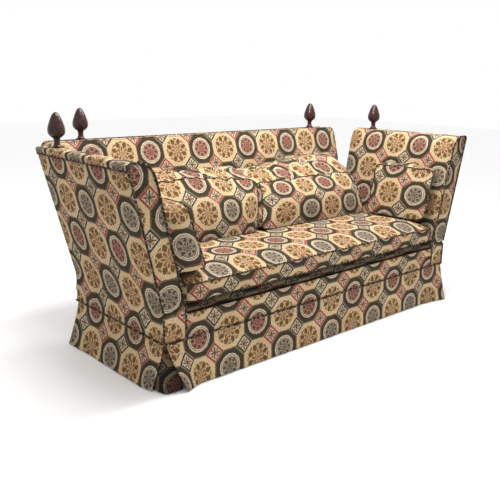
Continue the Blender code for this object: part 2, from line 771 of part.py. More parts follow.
def build_back_frame(wood):
    """Two posts bolted behind the seat box, cranked at hinge height, with a top and a lower rail."""
    frame_front = BACK_PAD_THICKNESS + GAP
    rail_top = BACK_HEIGHT - TOP_PAD_THICKNESS - GAP
    rail_bottom = rail_top - BACK_RAIL_WIDTH
    post_top = rail_bottom - GAP
    edge_low = back_half(HINGE_HEIGHT) - END_PAD_THICKNESS - GAP
    edge_high = BACK_SPAN / 2 - BACK_CORNER_RADIUS - GAP
    for side, word in ((-1, "left"), (1, "right")):
        rings = [
            post_section(side, RAIL_BOTTOM, edge_low, BASE_REAR_Y + GAP),
            post_section(side, CRANK_HEIGHT, edge_low, BASE_REAR_Y + GAP),
            post_section(side, HINGE_HEIGHT, edge_low, back_front(HINGE_HEIGHT) + frame_front),
            post_section(side, post_top, edge_high, back_front(post_top) + frame_front),
        ]
        stack(word + "_back_post", [rings], wood)
    rings = []
    for z in (rail_bottom, rail_top):
        half = edge_high
        y0 = back_front(z) + frame_front
        y1 = back_front(z) + BACK_PAD_THICKNESS + BACK_FRAME_THICKNESS
        rings.append(rectangle(-half, half, y0, y1, z))
    top_rail = stack("back_top_rail", [rings], wood)
    rings = []
    for z in (LOWER_BACK_RAIL_HEIGHT, LOWER_BACK_RAIL_HEIGHT + BACK_RAIL_WIDTH):
        along = (z - HINGE_HEIGHT) / (post_top - HINGE_HEIGHT)
        half = edge_low + (edge_high - edge_low) * along - BACK_POST_WIDTH - GAP
        y0 = back_front(z) + frame_front
        y1 = back_front(z) + BACK_PAD_THICKNESS + BACK_FRAME_THICKNESS
        rings.append(rectangle(-half, half, y0, y1, z))
    stack("back_lower_rail", [rings], wood)
    return top_rail


def build_back_covers(cloth):
    """The padded front, the flat outer back, and the strips that close the top and the ends."""
    rings = []
    for z in back_levels(HINGE_HEIGHT, BACK_HEIGHT, PAD_LEVEL_SHARES):
        level_share = crown_share((z - HINGE_HEIGHT) / BACK_RISE)
        half = back_half(z)
        y = back_front(z) + BACK_PAD_THICKNESS
        ring = [(half, y, z), (-half, y, z)]
        for stop in PAD_STOP_SHARES:
            bulge = BACK_PAD_CROWN * crown_share(stop) * level_share
            ring.append((-half + 2 * half * stop, back_front(z) - bulge, z))
        rings.append(ring)
    stack("back_front_pad", [rings], cloth, smooth_angle=math.radians(40))

    cover = BACK_PAD_THICKNESS + BACK_FRAME_THICKNESS + GAP
    rings = []
    for z in [SEAM_HEIGHT] + back_levels(HINGE_HEIGHT, BACK_HEIGHT):
        rings.append(back_slice(z, cover, OVERALL_BACK_THICKNESS))
    stack("outer_back", [rings], cloth, smooth_angle=math.radians(40))

    zone_front = BACK_PAD_THICKNESS + GAP
    zone_rear = BACK_PAD_THICKNESS + BACK_FRAME_THICKNESS
    strip_half = BACK_SPAN / 2 - BACK_CORNER_RADIUS
    rings = []
    for z in (BACK_HEIGHT - TOP_PAD_THICKNESS, BACK_HEIGHT):
        front = back_front(z) + zone_front
        rings.append(rectangle(-strip_half, strip_half, front, back_front(z) + zone_rear, z))
    top_strip = stack("back_top_strip", [rings], cloth)

    for side, word in ((-1, "left"), (1, "right")):
        rings = []
        for z in [SEAM_HEIGHT, CRANK_HEIGHT] + back_levels(HINGE_HEIGHT, BACK_HEIGHT):
            x1 = back_half(z)
            x0 = x1 - END_PAD_THICKNESS
            if z > BACK_HEIGHT - BACK_CORNER_RADIUS - GAP:
                x0 = strip_half + GAP
                x1 = max(x1, x0 + GAP)
            front = back_front(z) + zone_front if z > CRANK_HEIGHT else BASE_REAR_Y + GAP
            y1 = back_front(z) + zone_rear
            rings.append(mirrored(side, [(x0, front, z), (x1, front, z), (x1, y1, z), (x0, y1, z)]))
        stack(word + "_back_end_strip", [rings], cloth, smooth_angle=math.radians(40))
    return top_strip


# Finials


def build_finial(name, x, y, seat, polish):
    """A turned finial: a spigot in the rail, a flange, a neck and an acorn-shaped bulb."""
    rings = [circle(x, y, seat - SPIGOT_LENGTH, SPIGOT_RADIUS, FINIAL_SIDES)]
    rings.append(circle(x, y, seat + GAP, SPIGOT_RADIUS, FINIAL_SIDES))
    for height_share, radius_share in FINIAL_SHARES:
        z = seat + GAP + FINIAL_HEIGHT * height_share
        rings.append(circle(x, y, z, FINIAL_RADIUS * radius_share, FINIAL_SIDES))
    bm = bmesh.new()
    stack_rings(bm, rings)
    bm.verts.ensure_lookup_table()
    tip_face = max(bm.faces, key=lambda face: face.calc_center_median().z)
    bmesh.ops.poke(bm, faces=[tip_face])
    tip = max(bm.verts, key=lambda vert: len(vert.link_edges) * (vert.co.z > seat + FINIAL_HEIGHT / 2))
    tip.co.z = seat + GAP + FINIAL_HEIGHT
    add_object(name, mesh_from_bmesh(name, bm, math.radians(50)), polish)


def build_finials(polish, top_rail, top_strip):
    for side, word in ((-1, "left"), (1, "right")):
        x, y = arm_finial_place(side)
        build_finial(word + "_arm_finial", x, y, ARM_TOP_HEIGHT, polish)
        x = side * BACK_FINIAL_OFFSET
        y = back_front(BACK_HEIGHT - SPIGOT_LENGTH / 2) + BACK_PAD_THICKNESS + BACK_FINIAL_FROM_RAIL_FRONT
        build_finial(word + "_back_finial", x, y, BACK_HEIGHT, polish)
        hole = spigot_hole(word + "_back_finial_hole", x, y, BACK_HEIGHT)
        cut(top_rail, hole)
        cut(top_strip, hole)


# Skirt


def skirt_levels():
    """Heights of the skirt's cross lines, each with how far it has swung out as a share of the hem's."""
    top = SEAM_HEIGHT - GAP
    levels = []
    for row in range(SKIRT_ROWS + 1):
        fall = 1 - row / SKIRT_ROWS
        z = HEM_CLEARANCE + (top - HEM_CLEARANCE) * (1 - fall)
        levels.append((z, fall**SKIRT_FALL_POWER))
    return levels


def skirt_stations(start, end, outward, flare, corner_flare):
    """Places along a straight run of skirt, each with the way out and how far the hem stands out."""
    run = Vector(end) - Vector(start)
    count = max(2, round(run.length / SKIRT_STEP))
    stations = []
    for i in range(count + 1):
        along = run.length * i / count
        from_end = min(along, run.length - along)
        wave = SKIRT_WAVE * (1 - math.cos(2 * math.pi * from_end / SKIRT_WAVE_LENGTH)) / 2
        corner = corner_flare * max(0.0, 1 - from_end / CORNER_FLARE_LENGTH) ** 2
        stations.append((Vector(start) + run * i / count, Vector(outward), flare + corner - wave))
    return stations


def skirt_rings(stations):
    """Level slices of a hanging panel, from its hem up to the seam."""
    rings = []
    for z, swing in skirt_levels():
        outer = [place + outward * out * swing for place, outward, out in stations]
        inner = [point - way * SKIRT_THICKNESS for point, (_, way, _) in zip(outer, stations)]
        rings.append([(point.x, point.y, z) for point in outer + list(reversed(inner))])
    return rings


def build_skirt(cloth, lining):
    """Four hanging panels, with a folded piece set behind each open front corner."""
    near = SKIRT_END_GAP
    span = HALF_BASE - near
    stations = skirt_stations((-span, FRONT_Y), (span, FRONT_Y), (0, -1), FRONT_FLARE, FRONT_CORNER_FLARE)
    stack("front_skirt", [skirt_rings(stations)], cloth, smooth_angle=math.radians(60))
    for side, word in ((-1, "left"), (1, "right")):
        stations = skirt_stations(
            (side * HALF_BASE, FRONT_Y + near),
            (side * HALF_BASE, BASE_REAR_Y - near),
            (side, 0),
            SIDE_FLARE,
            SIDE_CORNER_FLARE,
        )
        stack(word + "_skirt", [skirt_rings(stations)], cloth, smooth_angle=math.radians(60))

    # The rear panel starts behind one arm, steps in to the back and runs round to the other arm
    back_x = back_half(HINGE_HEIGHT)
    rear_y = back_front(HINGE_HEIGHT) + OVERALL_BACK_THICKNESS
    turns = []
    for side in (-1, 1):
        run = [
            (Vector((side * span, BASE_REAR_Y)), Vector((0, 1)), REAR_FLARE),
            (Vector((side * back_x, BASE_REAR_Y)), Vector((side, 1)), REAR_FLARE),
            (Vector((side * back_x, rear_y)), Vector((side, 1)), REAR_FLARE),
        ]
        turns.append(run)
    middle = skirt_stations((-back_x, rear_y), (back_x, rear_y), (0, 1), REAR_FLARE, 0.0)
    stations = turns[0] + middle[1:-1] + list(reversed(turns[1]))
    stack("rear_skirt", [skirt_rings(stations)], cloth, smooth_angle=math.radians(60))

    for side, word in ((-1, "left"), (1, "right")):
        rings = []
        for z, swing in skirt_levels():
            x = HALF_BASE - SKIRT_THICKNESS - GAP + swing * SIDE_FLARE * CORNER_PLEAT_SHARE
            y = FRONT_Y + SKIRT_THICKNESS + GAP - swing * FRONT_FLARE * CORNER_PLEAT_SHARE
            leg = PLEAT_LEG
            thick = SKIRT_THICKNESS
            ring = [
                (x - leg, y, z),
                (x, y, z),
                (x, y + leg, z),
                (x - thick, y + leg, z),
                (x - thick, y + thick, z),
                (x - leg, y + thick, z),
            ]
            rings.append(mirrored(side, ring))
        stack(word + "_corner_pleat", [rings], lining)


# Piping


def cord(name, points, cloth, closed=False, branches=()):
    """Round covered cord sewn into a seam, with branches that start inside it."""
    bm = bmesh.new()
    stack_rings(bm, tube_rings(points, closed), closed)
    obj = add_object(name, mesh_from_bmesh(name, bm, math.radians(60)), cloth)
    if branches:
        join(obj, add_tool(name + "_branches", [tube_rings(branch) for branch in branches]))


def build_arm_piping(side, word, cloth):
    """Round the facing, and back along the outer top edge."""
    y = FRONT_Y - PIPING_SEAT
    low = ARM_BOTTOM + PIPING_RADIUS
    top = ARM_TOP_HEIGHT
    facing = [(outer_x(low) - ARM_THICKNESS - PIPING_SEAT, y, low)]
    edge_arc = corner_arc(ARM_TOP_ROUNDING, math.pi, math.pi / 2)
    outset_arc = corner_arc(PIPING_SEAT, math.pi, math.pi / 2)
    for (dx, dz), (outset_x, outset_z) in zip(edge_arc, outset_arc):
        z = top - ARM_TOP_ROUNDING + dz
        x = outer_x(z) - ARM_THICKNESS + ARM_TOP_ROUNDING + dx
        facing.append((x + outset_x, y, z + outset_z))
    corner_z = top + PIPING_SEAT
    corner_x = outer_x(corner_z) + PIPING_SEAT
    facing.append((corner_x, y, corner_z))
    facing.append((outer_x(low) + PIPING_SEAT, y, low))
    edge = [(corner_x, y, corner_z), (corner_x, arm_rear(top) - PIPING_RADIUS, corner_z)]
    runs = [[(side * x, y, z) for x, y, z in run] for run in (facing, edge)]
    cord(word + "_arm_piping", runs[0], cloth, branches=runs[1:])


def build_base_piping(cloth):
    """Round the sofa in the skirt seam, and up the four edges of the fixed facings."""
    out = PIPING_RADIUS + GAP
    x = HALF_BASE + out
    back_x = back_half(HINGE_HEIGHT) + out
    front = FRONT_Y - out
    step_y = BASE_REAR_Y + out
    rear = back_front(HINGE_HEIGHT) + OVERALL_BACK_THICKNESS + out
    half = [(x, front), (x, step_y), (back_x, step_y), (back_x, rear)]
    loop = half + [(-x, y) for x, y in reversed(half)]
    branches = []
    for side in (-1, 1):
        outer = (side * (HALF_BASE + PIPING_SEAT), FRONT_Y - PIPING_SEAT)
        inner = (side * (HALF_BASE - ARM_THICKNESS), front)
        for place in (outer, inner):
            branches.append([(*place, SEAM_HEIGHT), (*place, BASE_TOP - PIPING_RADIUS)])
    cord("base_piping", [(x, y, SEAM_HEIGHT) for x, y in loop], cloth, True, branches)


def build_back_piping(cloth):
    """Up the front and the rear edges of the back, and over its top."""
    for word, inset, way in (("front", 0.0, -1), ("rear", OVERALL_BACK_THICKNESS, 1)):
        half_line = []
        for z in back_levels(HINGE_HEIGHT + 2 * PIPING_RADIUS, BACK_HEIGHT):
            x = back_half(z) + PIPING_SEAT
            y = back_front(z) + inset + way * PIPING_SEAT
            up = PIPING_SEAT * max(0.0, z - BACK_HEIGHT + BACK_CORNER_RADIUS) / BACK_CORNER_RADIUS
            half_line.append((x, y, z + up))
        other = [(-x, y, z) for x, y, z in reversed(half_line)]
        cord("_".join(("back", word, "piping")), half_line + other, cloth)


# Loose cushions


def rounded_corner(u, v, half_u, half_v, radius):
    """Draws a point of the square corner in to a round one."""
    corner_u = abs(u) - (half_u - radius)
    corner_v = abs(v) - (half_v - radius)
    if corner_u <= 0 or corner_v <= 0:
        return u, v
    shrink = max(corner_u, corner_v) / math.hypot(corner_u, corner_v)
    new_u = half_u - radius + corner_u * shrink
    new_v = half_v - radius + corner_v * shrink
    return math.copysign(new_u, u), math.copysign(new_v, v)


def cushion_stops(half, edge, count):
    """Places across a cushion, closer together near its edges."""
    near = [-half, -half + edge / 3, -half + edge * 2 / 3]
    inner = half - edge
    middle = [-inner + 2 * inner * i / count for i in range(count + 1)]
    return near + middle + [-value for value in reversed(near)]


def crown_height(u, v, half_u, half_v, edge):
    """Share of the full crown at a place: none at the rim, all of it past the edge band."""
    in_u = min(1.0, (half_u - abs(u)) / edge)
    in_v = min(1.0, (half_v - abs(v)) / edge)
    return math.sin(math.pi / 2 * in_u) * math.sin(math.pi / 2 * in_v)


def rim_of(stops_u, stops_v):
    """Index pairs round the rim, in order."""
    last_u = len(stops_u) - 1
    last_v = len(stops_v) - 1
    rim = [(i, 0) for i in range(last_u)]
    rim += [(last_u, j) for j in range(last_v)]
    rim += [(i, last_v) for i in range(last_u, 0, -1)]
    rim += [(0, j) for j in range(last_v, 0, -1)]
    return rim


def add_cushion(name, size, edge_height, crowns, edge, pull, counts, bead, place, material, stands=False):
    """A boxed cushion with crowned faces, sides drawn in between the corners and a corded rim.

    size is (half width, half height), crowns those of the low and the high face. place turns (u, v, w)
    into a point: u across, v up and w through the cushion, from 0 at the low rim to edge_height.
    A cushion that stands on its lower side has that side straight.
    """
    half_u, half_v = size
    stops_u = cushion_stops(half_u, edge, counts[0])
    stops_v = cushion_stops(half_v, edge, counts[1])

    def flat(u, v):
        new_u, new_v = rounded_corner(u, v, half_u, half_v, CUSHION_CORNER_RADIUS)
        drawn_u = new_u - math.copysign(pull, u) * (1 - (v / half_v) ** 2) * abs(u) / half_u
        drawn_v = new_v - math.copysign(pull, v) * (1 - (u / half_u) ** 2) * abs(v) / half_v
        if stands and v < 0:
            drawn_v = new_v
        return drawn_u, drawn_v

    bm = bmesh.new()
    rim = rim_of(stops_u, stops_v)
    grids = []
    for base, crown, way in ((0.0, crowns[0], -1), (edge_height, crowns[1], 1)):
        grid = {}
        for i, u in enumerate(stops_u):
            for j, v in enumerate(stops_v):
                lift = crown * crown_height(u, v, half_u, half_v, edge)
                grid[i, j] = bm.verts.new(place(*flat(u, v), base + way * lift))
        for i in range(len(stops_u) - 1):
            for j in range(len(stops_v) - 1):
                bm.faces.new((grid[i, j], grid[i + 1, j], grid[i + 1, j + 1], grid[i, j + 1]))
        grids.append(grid)
    outline = [Vector(flat(stops_u[i], stops_v[j])) for i, j in rim]
    normals = []
    for k in range(len(outline)):
        along = outline[(k + 1) % len(outline)] - outline[k - 1]
        normals.append(Vector((along.y, -along.x)).normalized())
    profile = ((0.0, bead), (1.5 * bead, bead), (2 * bead, 0.0))
    profile += ((edge_height / 2, bead / 2),)
    profile += ((edge_height - 2 * bead, 0.0), (edge_height - 1.5 * bead, bead), (edge_height, bead))
    loops = [[grids[0][pair] for pair in rim]]
    for height, outset in profile:
        loop = []
        for point, normal in zip(outline, normals):
            moved = point + normal * outset
            loop.append(bm.verts.new(place(moved.x, moved.y, height)))
        loops.append(loop)
    loops.append([grids[1][pair] for pair in rim])
    for low, high in zip(loops, loops[1:]):
        for k in range(len(low)):
            after = (k + 1) % len(low)
            bm.faces.new((low[k], low[after], high[after], high[k]))
    add_object(name, mesh_from_bmesh(name, bm, math.radians(60)), material)


def build_seat_cushion(cloth):
    bead = PIPING_RADIUS
    half_u = SEAT_CUSHION_HALF_SPAN - bead
    half_v = SEAT_CUSHION_DEPTH / 2 - bead
    centre_y = FRONT_Y + bead + half_v

    def place(u, v, w):
        return (u, centre_y + v, SEAT_CUSHION_BOTTOM + w)

    add_cushion(
        "seat_cushion",
        (half_u, half_v),
        SEAT_BOXING_HEIGHT,
        (0.0, SEAT_CROWN),
        SEAT_CROWN_WIDTH,
        bead,
        (10, 4),
        bead,
        place,
        cloth,
    )


def build_back_cushions(cloth):
    """Two large loose cushions that stand on the seat and lean on the back."""
    bead = PIPING_RADIUS
    half_u = BACK_CUSHION_WIDTH / 2 - bead
    half_v = BACK_CUSHION_HEIGHT / 2
    bottom = SEAT_TOP + CUSHION_CLEARANCE + bead
    top = bottom + 2 * half_v
    slope = math.tan(BACK_CUSHION_LEAN)
    rear_top = back_front(top) - BACK_PAD_CROWN - CUSHION_CLEARANCE - bead
    for side, word in ((-1, "left"), (1, "right")):
        centre_x = side * (BACK_CUSHION_WIDTH / 2 + CUSHION_CLEARANCE)

        def place(u, v, w):
            z = bottom + half_v + v
            return (centre_x + u, rear_top - BACK_CUSHION_EDGE + w - (top - z) * slope, z)

        add_cushion(
            word + "_back_cushion",
            (half_u, half_v),
            BACK_CUSHION_EDGE,
            (BACK_CUSHION_CROWN, BACK_CUSHION_REAR_CROWN),
            half_v * CUSHION_CROWN_REACH_SHARE,
            2 * bead,
            (4, 2),
            bead,
            place,
            cloth,
            stands=True,
        )


def build_arm_cushions(cloth):
    """Two smaller boxed cushions that stand on the seat and lean on the arms."""
    bead = PIPING_RADIUS
    half_u = ARM_CUSHION_WIDTH / 2 - bead
    half_v = ARM_CUSHION_HEIGHT / 2
    bottom = SEAT_TOP + CUSHION_CLEARANCE + bead
    centre_y = FRONT_Y + ARM_CUSHION_FROM_FRONT + ARM_CUSHION_WIDTH / 2
    for side, word in ((-1, "left"), (1, "right")):

        def place(u, v, w):
            z = bottom + v + half_v
            face = outer_x(z) - ARM_THICKNESS - ARM_PAD_CROWN - CUSHION_CLEARANCE - ARM_CUSHION_CROWN
            return (side * (face - w), centre_y + u, z)

        add_cushion(
            word + "_arm_cushion",
            (half_u, half_v),
            ARM_CUSHION_EDGE,
            (ARM_CUSHION_CROWN, ARM_CUSHION_CROWN),
            half_v * CUSHION_CROWN_REACH_SHARE,
            bead,
            (4, 2),
            bead,
            place,
            cloth,
            stands=True,
        )


def main():
    clear_scene()
    tapestry = make_material("tapestry", (0.46, 0.38, 0.26), 0.9)
    tapestry_inset = make_material("tapestry_inset", (0.09, 0.08, 0.07), 0.95)
    cord_cloth = make_material("piping_cloth", (0.2, 0.17, 0.13), 0.9)
    beech = make_material("beech", (0.62, 0.44, 0.26), 0.6)
    mahogany = make_material("mahogany", (0.09, 0.02, 0.015), 0.22)
    jute = make_material("jute", (0.45, 0.35, 0.2), 0.95)
    lining = make_material("black_lining", (0.03, 0.03, 0.03), 0.95)
    steel = make_material("steel", (0.45, 0.45, 0.46), 0.4, 1.0)
    build_seat_box(beech)
    build_legs(beech)
    build_webbing(jute)
    build_platform(lining, tapestry)
    build_borders(tapestry)
    for side, word in ((-1, "left"), (1, "right")):
        build_arm(side, word, beech, tapestry)
        build_arm_piping(side, word, cord_cloth)
        build_hinge(side, word, steel)
    top_rail = build_back_frame(beech)
    top_strip = build_back_covers(tapestry)
    build_finials(mahogany, top_rail, top_strip)
    build_skirt(tapestry, tapestry_inset)
    build_base_piping(cord_cloth)
    build_back_piping(cord_cloth)
    build_seat_cushion(tapestry)
    build_back_cushions(tapestry)
    build_arm_cushions(tapestry)


main()
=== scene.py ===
"""Looks of the knole sofa: tapestry covers, piping, skirts, cushions, polished finials and a plain studio.

It is laid out as an add-on and run as a script. Metres, +Z up, -Y to the front, in the frame of the solids.
"""

import json
import math

import bpy
import numpy as np
from mathutils import Matrix, Vector, noise


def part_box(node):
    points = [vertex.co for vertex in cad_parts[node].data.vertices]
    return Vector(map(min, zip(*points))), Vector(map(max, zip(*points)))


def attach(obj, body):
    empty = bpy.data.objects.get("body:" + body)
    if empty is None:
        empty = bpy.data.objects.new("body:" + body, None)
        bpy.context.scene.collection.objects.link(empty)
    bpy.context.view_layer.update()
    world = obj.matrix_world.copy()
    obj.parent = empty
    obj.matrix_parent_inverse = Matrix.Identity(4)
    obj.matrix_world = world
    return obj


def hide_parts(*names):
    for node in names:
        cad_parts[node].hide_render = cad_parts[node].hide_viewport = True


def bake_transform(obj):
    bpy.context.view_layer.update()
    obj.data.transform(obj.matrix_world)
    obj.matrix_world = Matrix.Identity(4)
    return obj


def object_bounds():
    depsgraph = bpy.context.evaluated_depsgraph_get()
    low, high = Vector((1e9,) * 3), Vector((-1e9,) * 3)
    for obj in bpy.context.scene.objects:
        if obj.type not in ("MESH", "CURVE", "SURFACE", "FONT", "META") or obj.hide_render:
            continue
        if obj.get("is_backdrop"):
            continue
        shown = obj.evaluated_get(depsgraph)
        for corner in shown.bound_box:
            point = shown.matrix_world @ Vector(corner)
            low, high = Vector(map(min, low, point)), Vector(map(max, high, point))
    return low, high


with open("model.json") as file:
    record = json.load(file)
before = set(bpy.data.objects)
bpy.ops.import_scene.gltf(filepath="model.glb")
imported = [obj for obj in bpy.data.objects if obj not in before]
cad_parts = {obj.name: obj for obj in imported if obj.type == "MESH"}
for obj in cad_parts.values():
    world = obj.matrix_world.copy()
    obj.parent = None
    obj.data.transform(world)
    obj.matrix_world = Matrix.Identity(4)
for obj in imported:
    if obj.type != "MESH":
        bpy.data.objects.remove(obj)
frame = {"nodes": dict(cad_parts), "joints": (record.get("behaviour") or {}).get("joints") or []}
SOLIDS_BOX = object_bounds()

bl_info = {
    "name": "Knole sofa covers",
    "version": (1, 0, 0),
    "blender": (4, 5, 0),
    "location": "3D View > Sidebar > Knole Sofa",
    "description": "Dresses the knole sofa's solids in tapestry, piping, loose cushions and polish",
    "category": "Object",
}

SIDES = ((-1, "left"), (1, "right"))
CLOTH_PLACE = "cloth_place"

# Places read from the solids
FACING_LOW, FACING_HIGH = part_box("right_arm_facing")
BORDER_LOW, BORDER_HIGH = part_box("right_side_border")
FRONT_BORDER_LOW, FRONT_BORDER_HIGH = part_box("front_border")
_, OUTER_BACK_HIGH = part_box("outer_back")
DECK_LOW, DECK_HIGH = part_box("seat_deck")
ROLL_LOW, ROLL_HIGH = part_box("edge_roll")
SEAT_LOW, SEAT_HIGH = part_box("seat_cushion")
SKIRT_LOW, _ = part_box("front_skirt")
JOINTS = {joint["name"]: joint for joint in frame["joints"]}
HINGE_X, _, HINGE_HEIGHT = JOINTS["right_arm_hinge"]["pos_m"]
FRONT_Y = FACING_LOW.y
FACING_THICKNESS = FACING_HIGH.y - FACING_LOW.y
ARM_BOTTOM = FACING_LOW.z
ARM_TOP = FACING_HIGH.z
HALF_BASE = BORDER_HIGH.x
ARM_THICKNESS = BORDER_HIGH.x - BORDER_LOW.x
BASE_REAR_Y = BORDER_HIGH.y
SEAM_HEIGHT = BORDER_LOW.z
BASE_TOP = BORDER_HIGH.z
HEM_HEIGHT = SKIRT_LOW.z
BACK_HEIGHT = OUTER_BACK_HIGH.z
ARM_SLOPE = (FACING_HIGH.x - HALF_BASE) / (ARM_TOP - HINGE_HEIGHT)

# Sizes that the covers share with the solids
GAP = 0.0003
ARM_REAR_LEAN = math.radians(2.7)
ARM_INNER_ROUNDING = (0.046, 0.072)
ARM_LIP_ROUNDING = 0.016
ARM_LIP_FALL = 0.028
ARM_LIP_PROUD = 0.003
OUTER_PAD_THICKNESS = 0.012
TOP_PAD_THICKNESS = 0.012
BORDER_THICKNESS = 0.012
BACK_RAKE = math.radians(15.0)
BACK_CLEARANCE = 0.008
BACK_SPAN = 2 * HALF_BASE + 0.020
BACK_CORNER_RADIUS = 0.034
BACK_PAD_THICKNESS = 0.033
BACK_THICKNESS = 0.095
OUTER_BACK_THICKNESS = 0.010
BACK_WIDTH_SHARES = ((0.0, 0.905), (0.2, 0.93), (0.45, 0.97), (0.68, 1.0), (1.0, 1.0))
BACK_CUSHION_LEAN = math.radians(38.0)
BACK_CUSHION_FACE_LEAN = math.radians(21.0)
CUSHION_CORNER_RADIUS = 0.045
BACK_RISE = BACK_HEIGHT - HINGE_HEIGHT
FACING_FOOT = ARM_BOTTOM - 0.005
BACK_TOP_FALL = 0.008
BACK_END_LENGTH = 0.66
LOWER_FACING_TOP = BASE_TOP + 0.005

ARM_PAD_THICKNESS = 0.036
BACK_EDGE_STEP = 0.018
CUSHION_ROOM = 0.005
SEAT_BOXING = 0.072
BACK_CUSHION_THICKNESS = 0.260
ARM_CUSHION_THICKNESS = {"left": 0.116, "right": 0.095}
ARM_CUSHION_CLEARANCE = 0.016

# Where the cloth bunches at the hinge, and how far its figures stray there
WAIST_HEIGHT = 0.275
WAIST_REACH = 0.065
WAIST_SWELL = 0.0052
WAIST_STRAY = 0.022
LOW_SIDE_TOP = 0.62
LOW_SIDE_FADE = 0.28
SIDE_STRETCH = 1.03

# Distance between the centres of two octagons
FIGURE_PITCH = 0.161

# Where the figured cloth lies on each cover: a dark octagon's centre across and up, in metres
BACK_FIGURE = (0.200, 0.527)
OUTER_ARM_FIGURE = (0.245, 0.558)
LOW_SIDE_SHIFT = (0.020, -0.027)
INNER_ARM_FIGURE = (0.254, 0.538)
FACING_FIGURE = (0.926, 0.233)
BASE_FIGURE = (-0.462, 0.194)
SEAT_FIGURE = (-0.475, -0.259)
BAND_FIGURE = (-0.3835, 0.0805)
BACK_CUSHION_FIGURES = {"left": (-0.038, -0.170), "right": (0.083, -0.221)}
ARM_CUSHION_FIGURE = (-0.057, -0.173)
CORNER_FIGURE = (0.4265, 0.035)

# How far the back cushions' slumped tops hang, in front and behind, at places across the sofa
BACK_CUSHION_DROOPS = {
    "left": (
        ((-0.74, -0.50, -0.377, -0.215, -0.055), (0.020, 0.006, 0.006, 0.029, 0.052)),
        ((-0.74, -0.60, -0.45, -0.33, 0.0), (0.060, 0.052, 0.032, 0.024, 0.020)),
    ),
    "right": (
        ((0.05, 0.235, 0.56, 0.735), (0.074, 0.070, 0.068, 0.084)),
        ((0.079, 0.187, 0.34, 0.50, 0.72), (0.036, 0.026, 0.006, -0.004, -0.010)),
    ),
}


# Shapes shared by the covers


def outer_x(z):
    """Outer face of the arm at a height; upright below the hinge."""
    return HALF_BASE + max(0.0, z - HINGE_HEIGHT) * ARM_SLOPE


def arm_rear(z):
    return BASE_REAR_Y + (z - HINGE_HEIGHT) * math.tan(ARM_REAR_LEAN)


def arm_length_up(z):
    """Length of cloth up the arm's slope from the hinge."""
    return (z - HINGE_HEIGHT) * math.hypot(1.0, ARM_SLOPE)


def waist_bunch(z):
    """How much the cloth is bunched at a height: most at the hinge."""
    return math.exp(-((z - WAIST_HEIGHT) / WAIST_REACH) ** 2)


def side_swell(side, y, z):
    """How far the bunched cloth on a side stands out."""
    return ripple((0.0, y, z * 1.6), 0.05, WAIST_SWELL * waist_bunch(z), 14.0 * side)


def side_cloth(side, y, z):
    """The cloth's place on a side of the sofa, from the arm's lip down to the hem."""
    share = clamped((LOW_SIDE_TOP - z) / LOW_SIDE_FADE)
    share *= share * (3 - 2 * share)
    across = OUTER_ARM_FIGURE[0] + LOW_SIDE_SHIFT[0] * share
    up = OUTER_ARM_FIGURE[1] + LOW_SIDE_SHIFT[1] * share
    stray = WAIST_STRAY * waist_bunch(z)
    spot = Vector((y / 0.09, z / 0.07, 5.0 * side))
    u = side * (y + across) + stray * noise.noise(spot)
    other_spot = spot + Vector((7.3, 2.1, 0.0))
    return u, (arm_length_up(z) - up) / SIDE_STRETCH + stray * noise.noise(other_spot)


def back_front(z):
    return BASE_REAR_Y + BACK_CLEARANCE + max(0.0, z - HINGE_HEIGHT) * math.tan(BACK_RAKE)


def back_half(z):
    """Half width of the back at a height, rounded at its top corners."""
    share = max(0.0, (z - HINGE_HEIGHT) / BACK_RISE)
    half = BACK_SPAN / 2
    for (low, low_width), (high, high_width) in zip(BACK_WIDTH_SHARES, BACK_WIDTH_SHARES[1:]):
        if share <= high:
            half *= low_width + (high_width - low_width) * (share - low) / (high - low)
            break
    above = min(max(0.0, z - (BACK_HEIGHT - BACK_CORNER_RADIUS)), BACK_CORNER_RADIUS)
    return half - BACK_CORNER_RADIUS + math.sqrt(BACK_CORNER_RADIUS**2 - above**2)


def clamped(value):
    """The value, kept between 0 and 1."""
    return min(1.0, max(0.0, value))


def spread(low, high, count):
    """Evenly spaced stops, both ends included."""
    return [low + (high - low) * i / count for i in range(count + 1)]


def eased(low, high, count):
    """Stops that lie closer together near both ends."""
    return [low + (high - low) * (1 - math.cos(math.pi * i / count)) / 2 for i in range(count + 1)]


def crown(share, power=4):
    """How much of a pad's crown shows at a share of its width: none at the rim."""
    return 1 - abs(2 * share - 1) ** power


def ripple(place, length, height, seed=0.0):
    """Slow unevenness of stuffed cloth."""
    return height * noise.noise(Vector(place) / length + Vector((seed, 0.37 * seed, 0.0)))


def add_piece(name, mesh, finish_name, body, nodes):
    """Links a finished mesh, gives it its finish, hides the solids it stands for, and sets it on the body it
    rides on.

    A piece that lies across two bodies rides on none.
    """
    obj = bpy.data.objects.new(name, mesh)
    bpy.context.scene.collection.objects.link(obj)
    mesh.shade_smooth()
    mesh.materials.clear()
    mesh.materials.append(finish(finish_name))
    if body:
        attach(obj, body)
    if nodes:
        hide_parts(*nodes)
    return obj


def mesh_of(name, verts, faces, cloth):
    mesh = bpy.data.meshes.new(name)
    mesh.from_pydata([tuple(vert) for vert in verts], [], faces)
    mesh.update()
    lay_cloth(mesh, cloth)
    return mesh


def lay_cloth(mesh, places):
    """Stores each point's place on the cloth: across and up."""
    attribute = mesh.attributes.get(CLOTH_PLACE) or mesh.attributes.new(CLOTH_PLACE, "FLOAT_VECTOR", "POINT")
    flat = np.zeros((len(places), 3), np.float32)
    flat[:, :2] = places
    attribute.data.foreach_set("vector", flat.ravel())


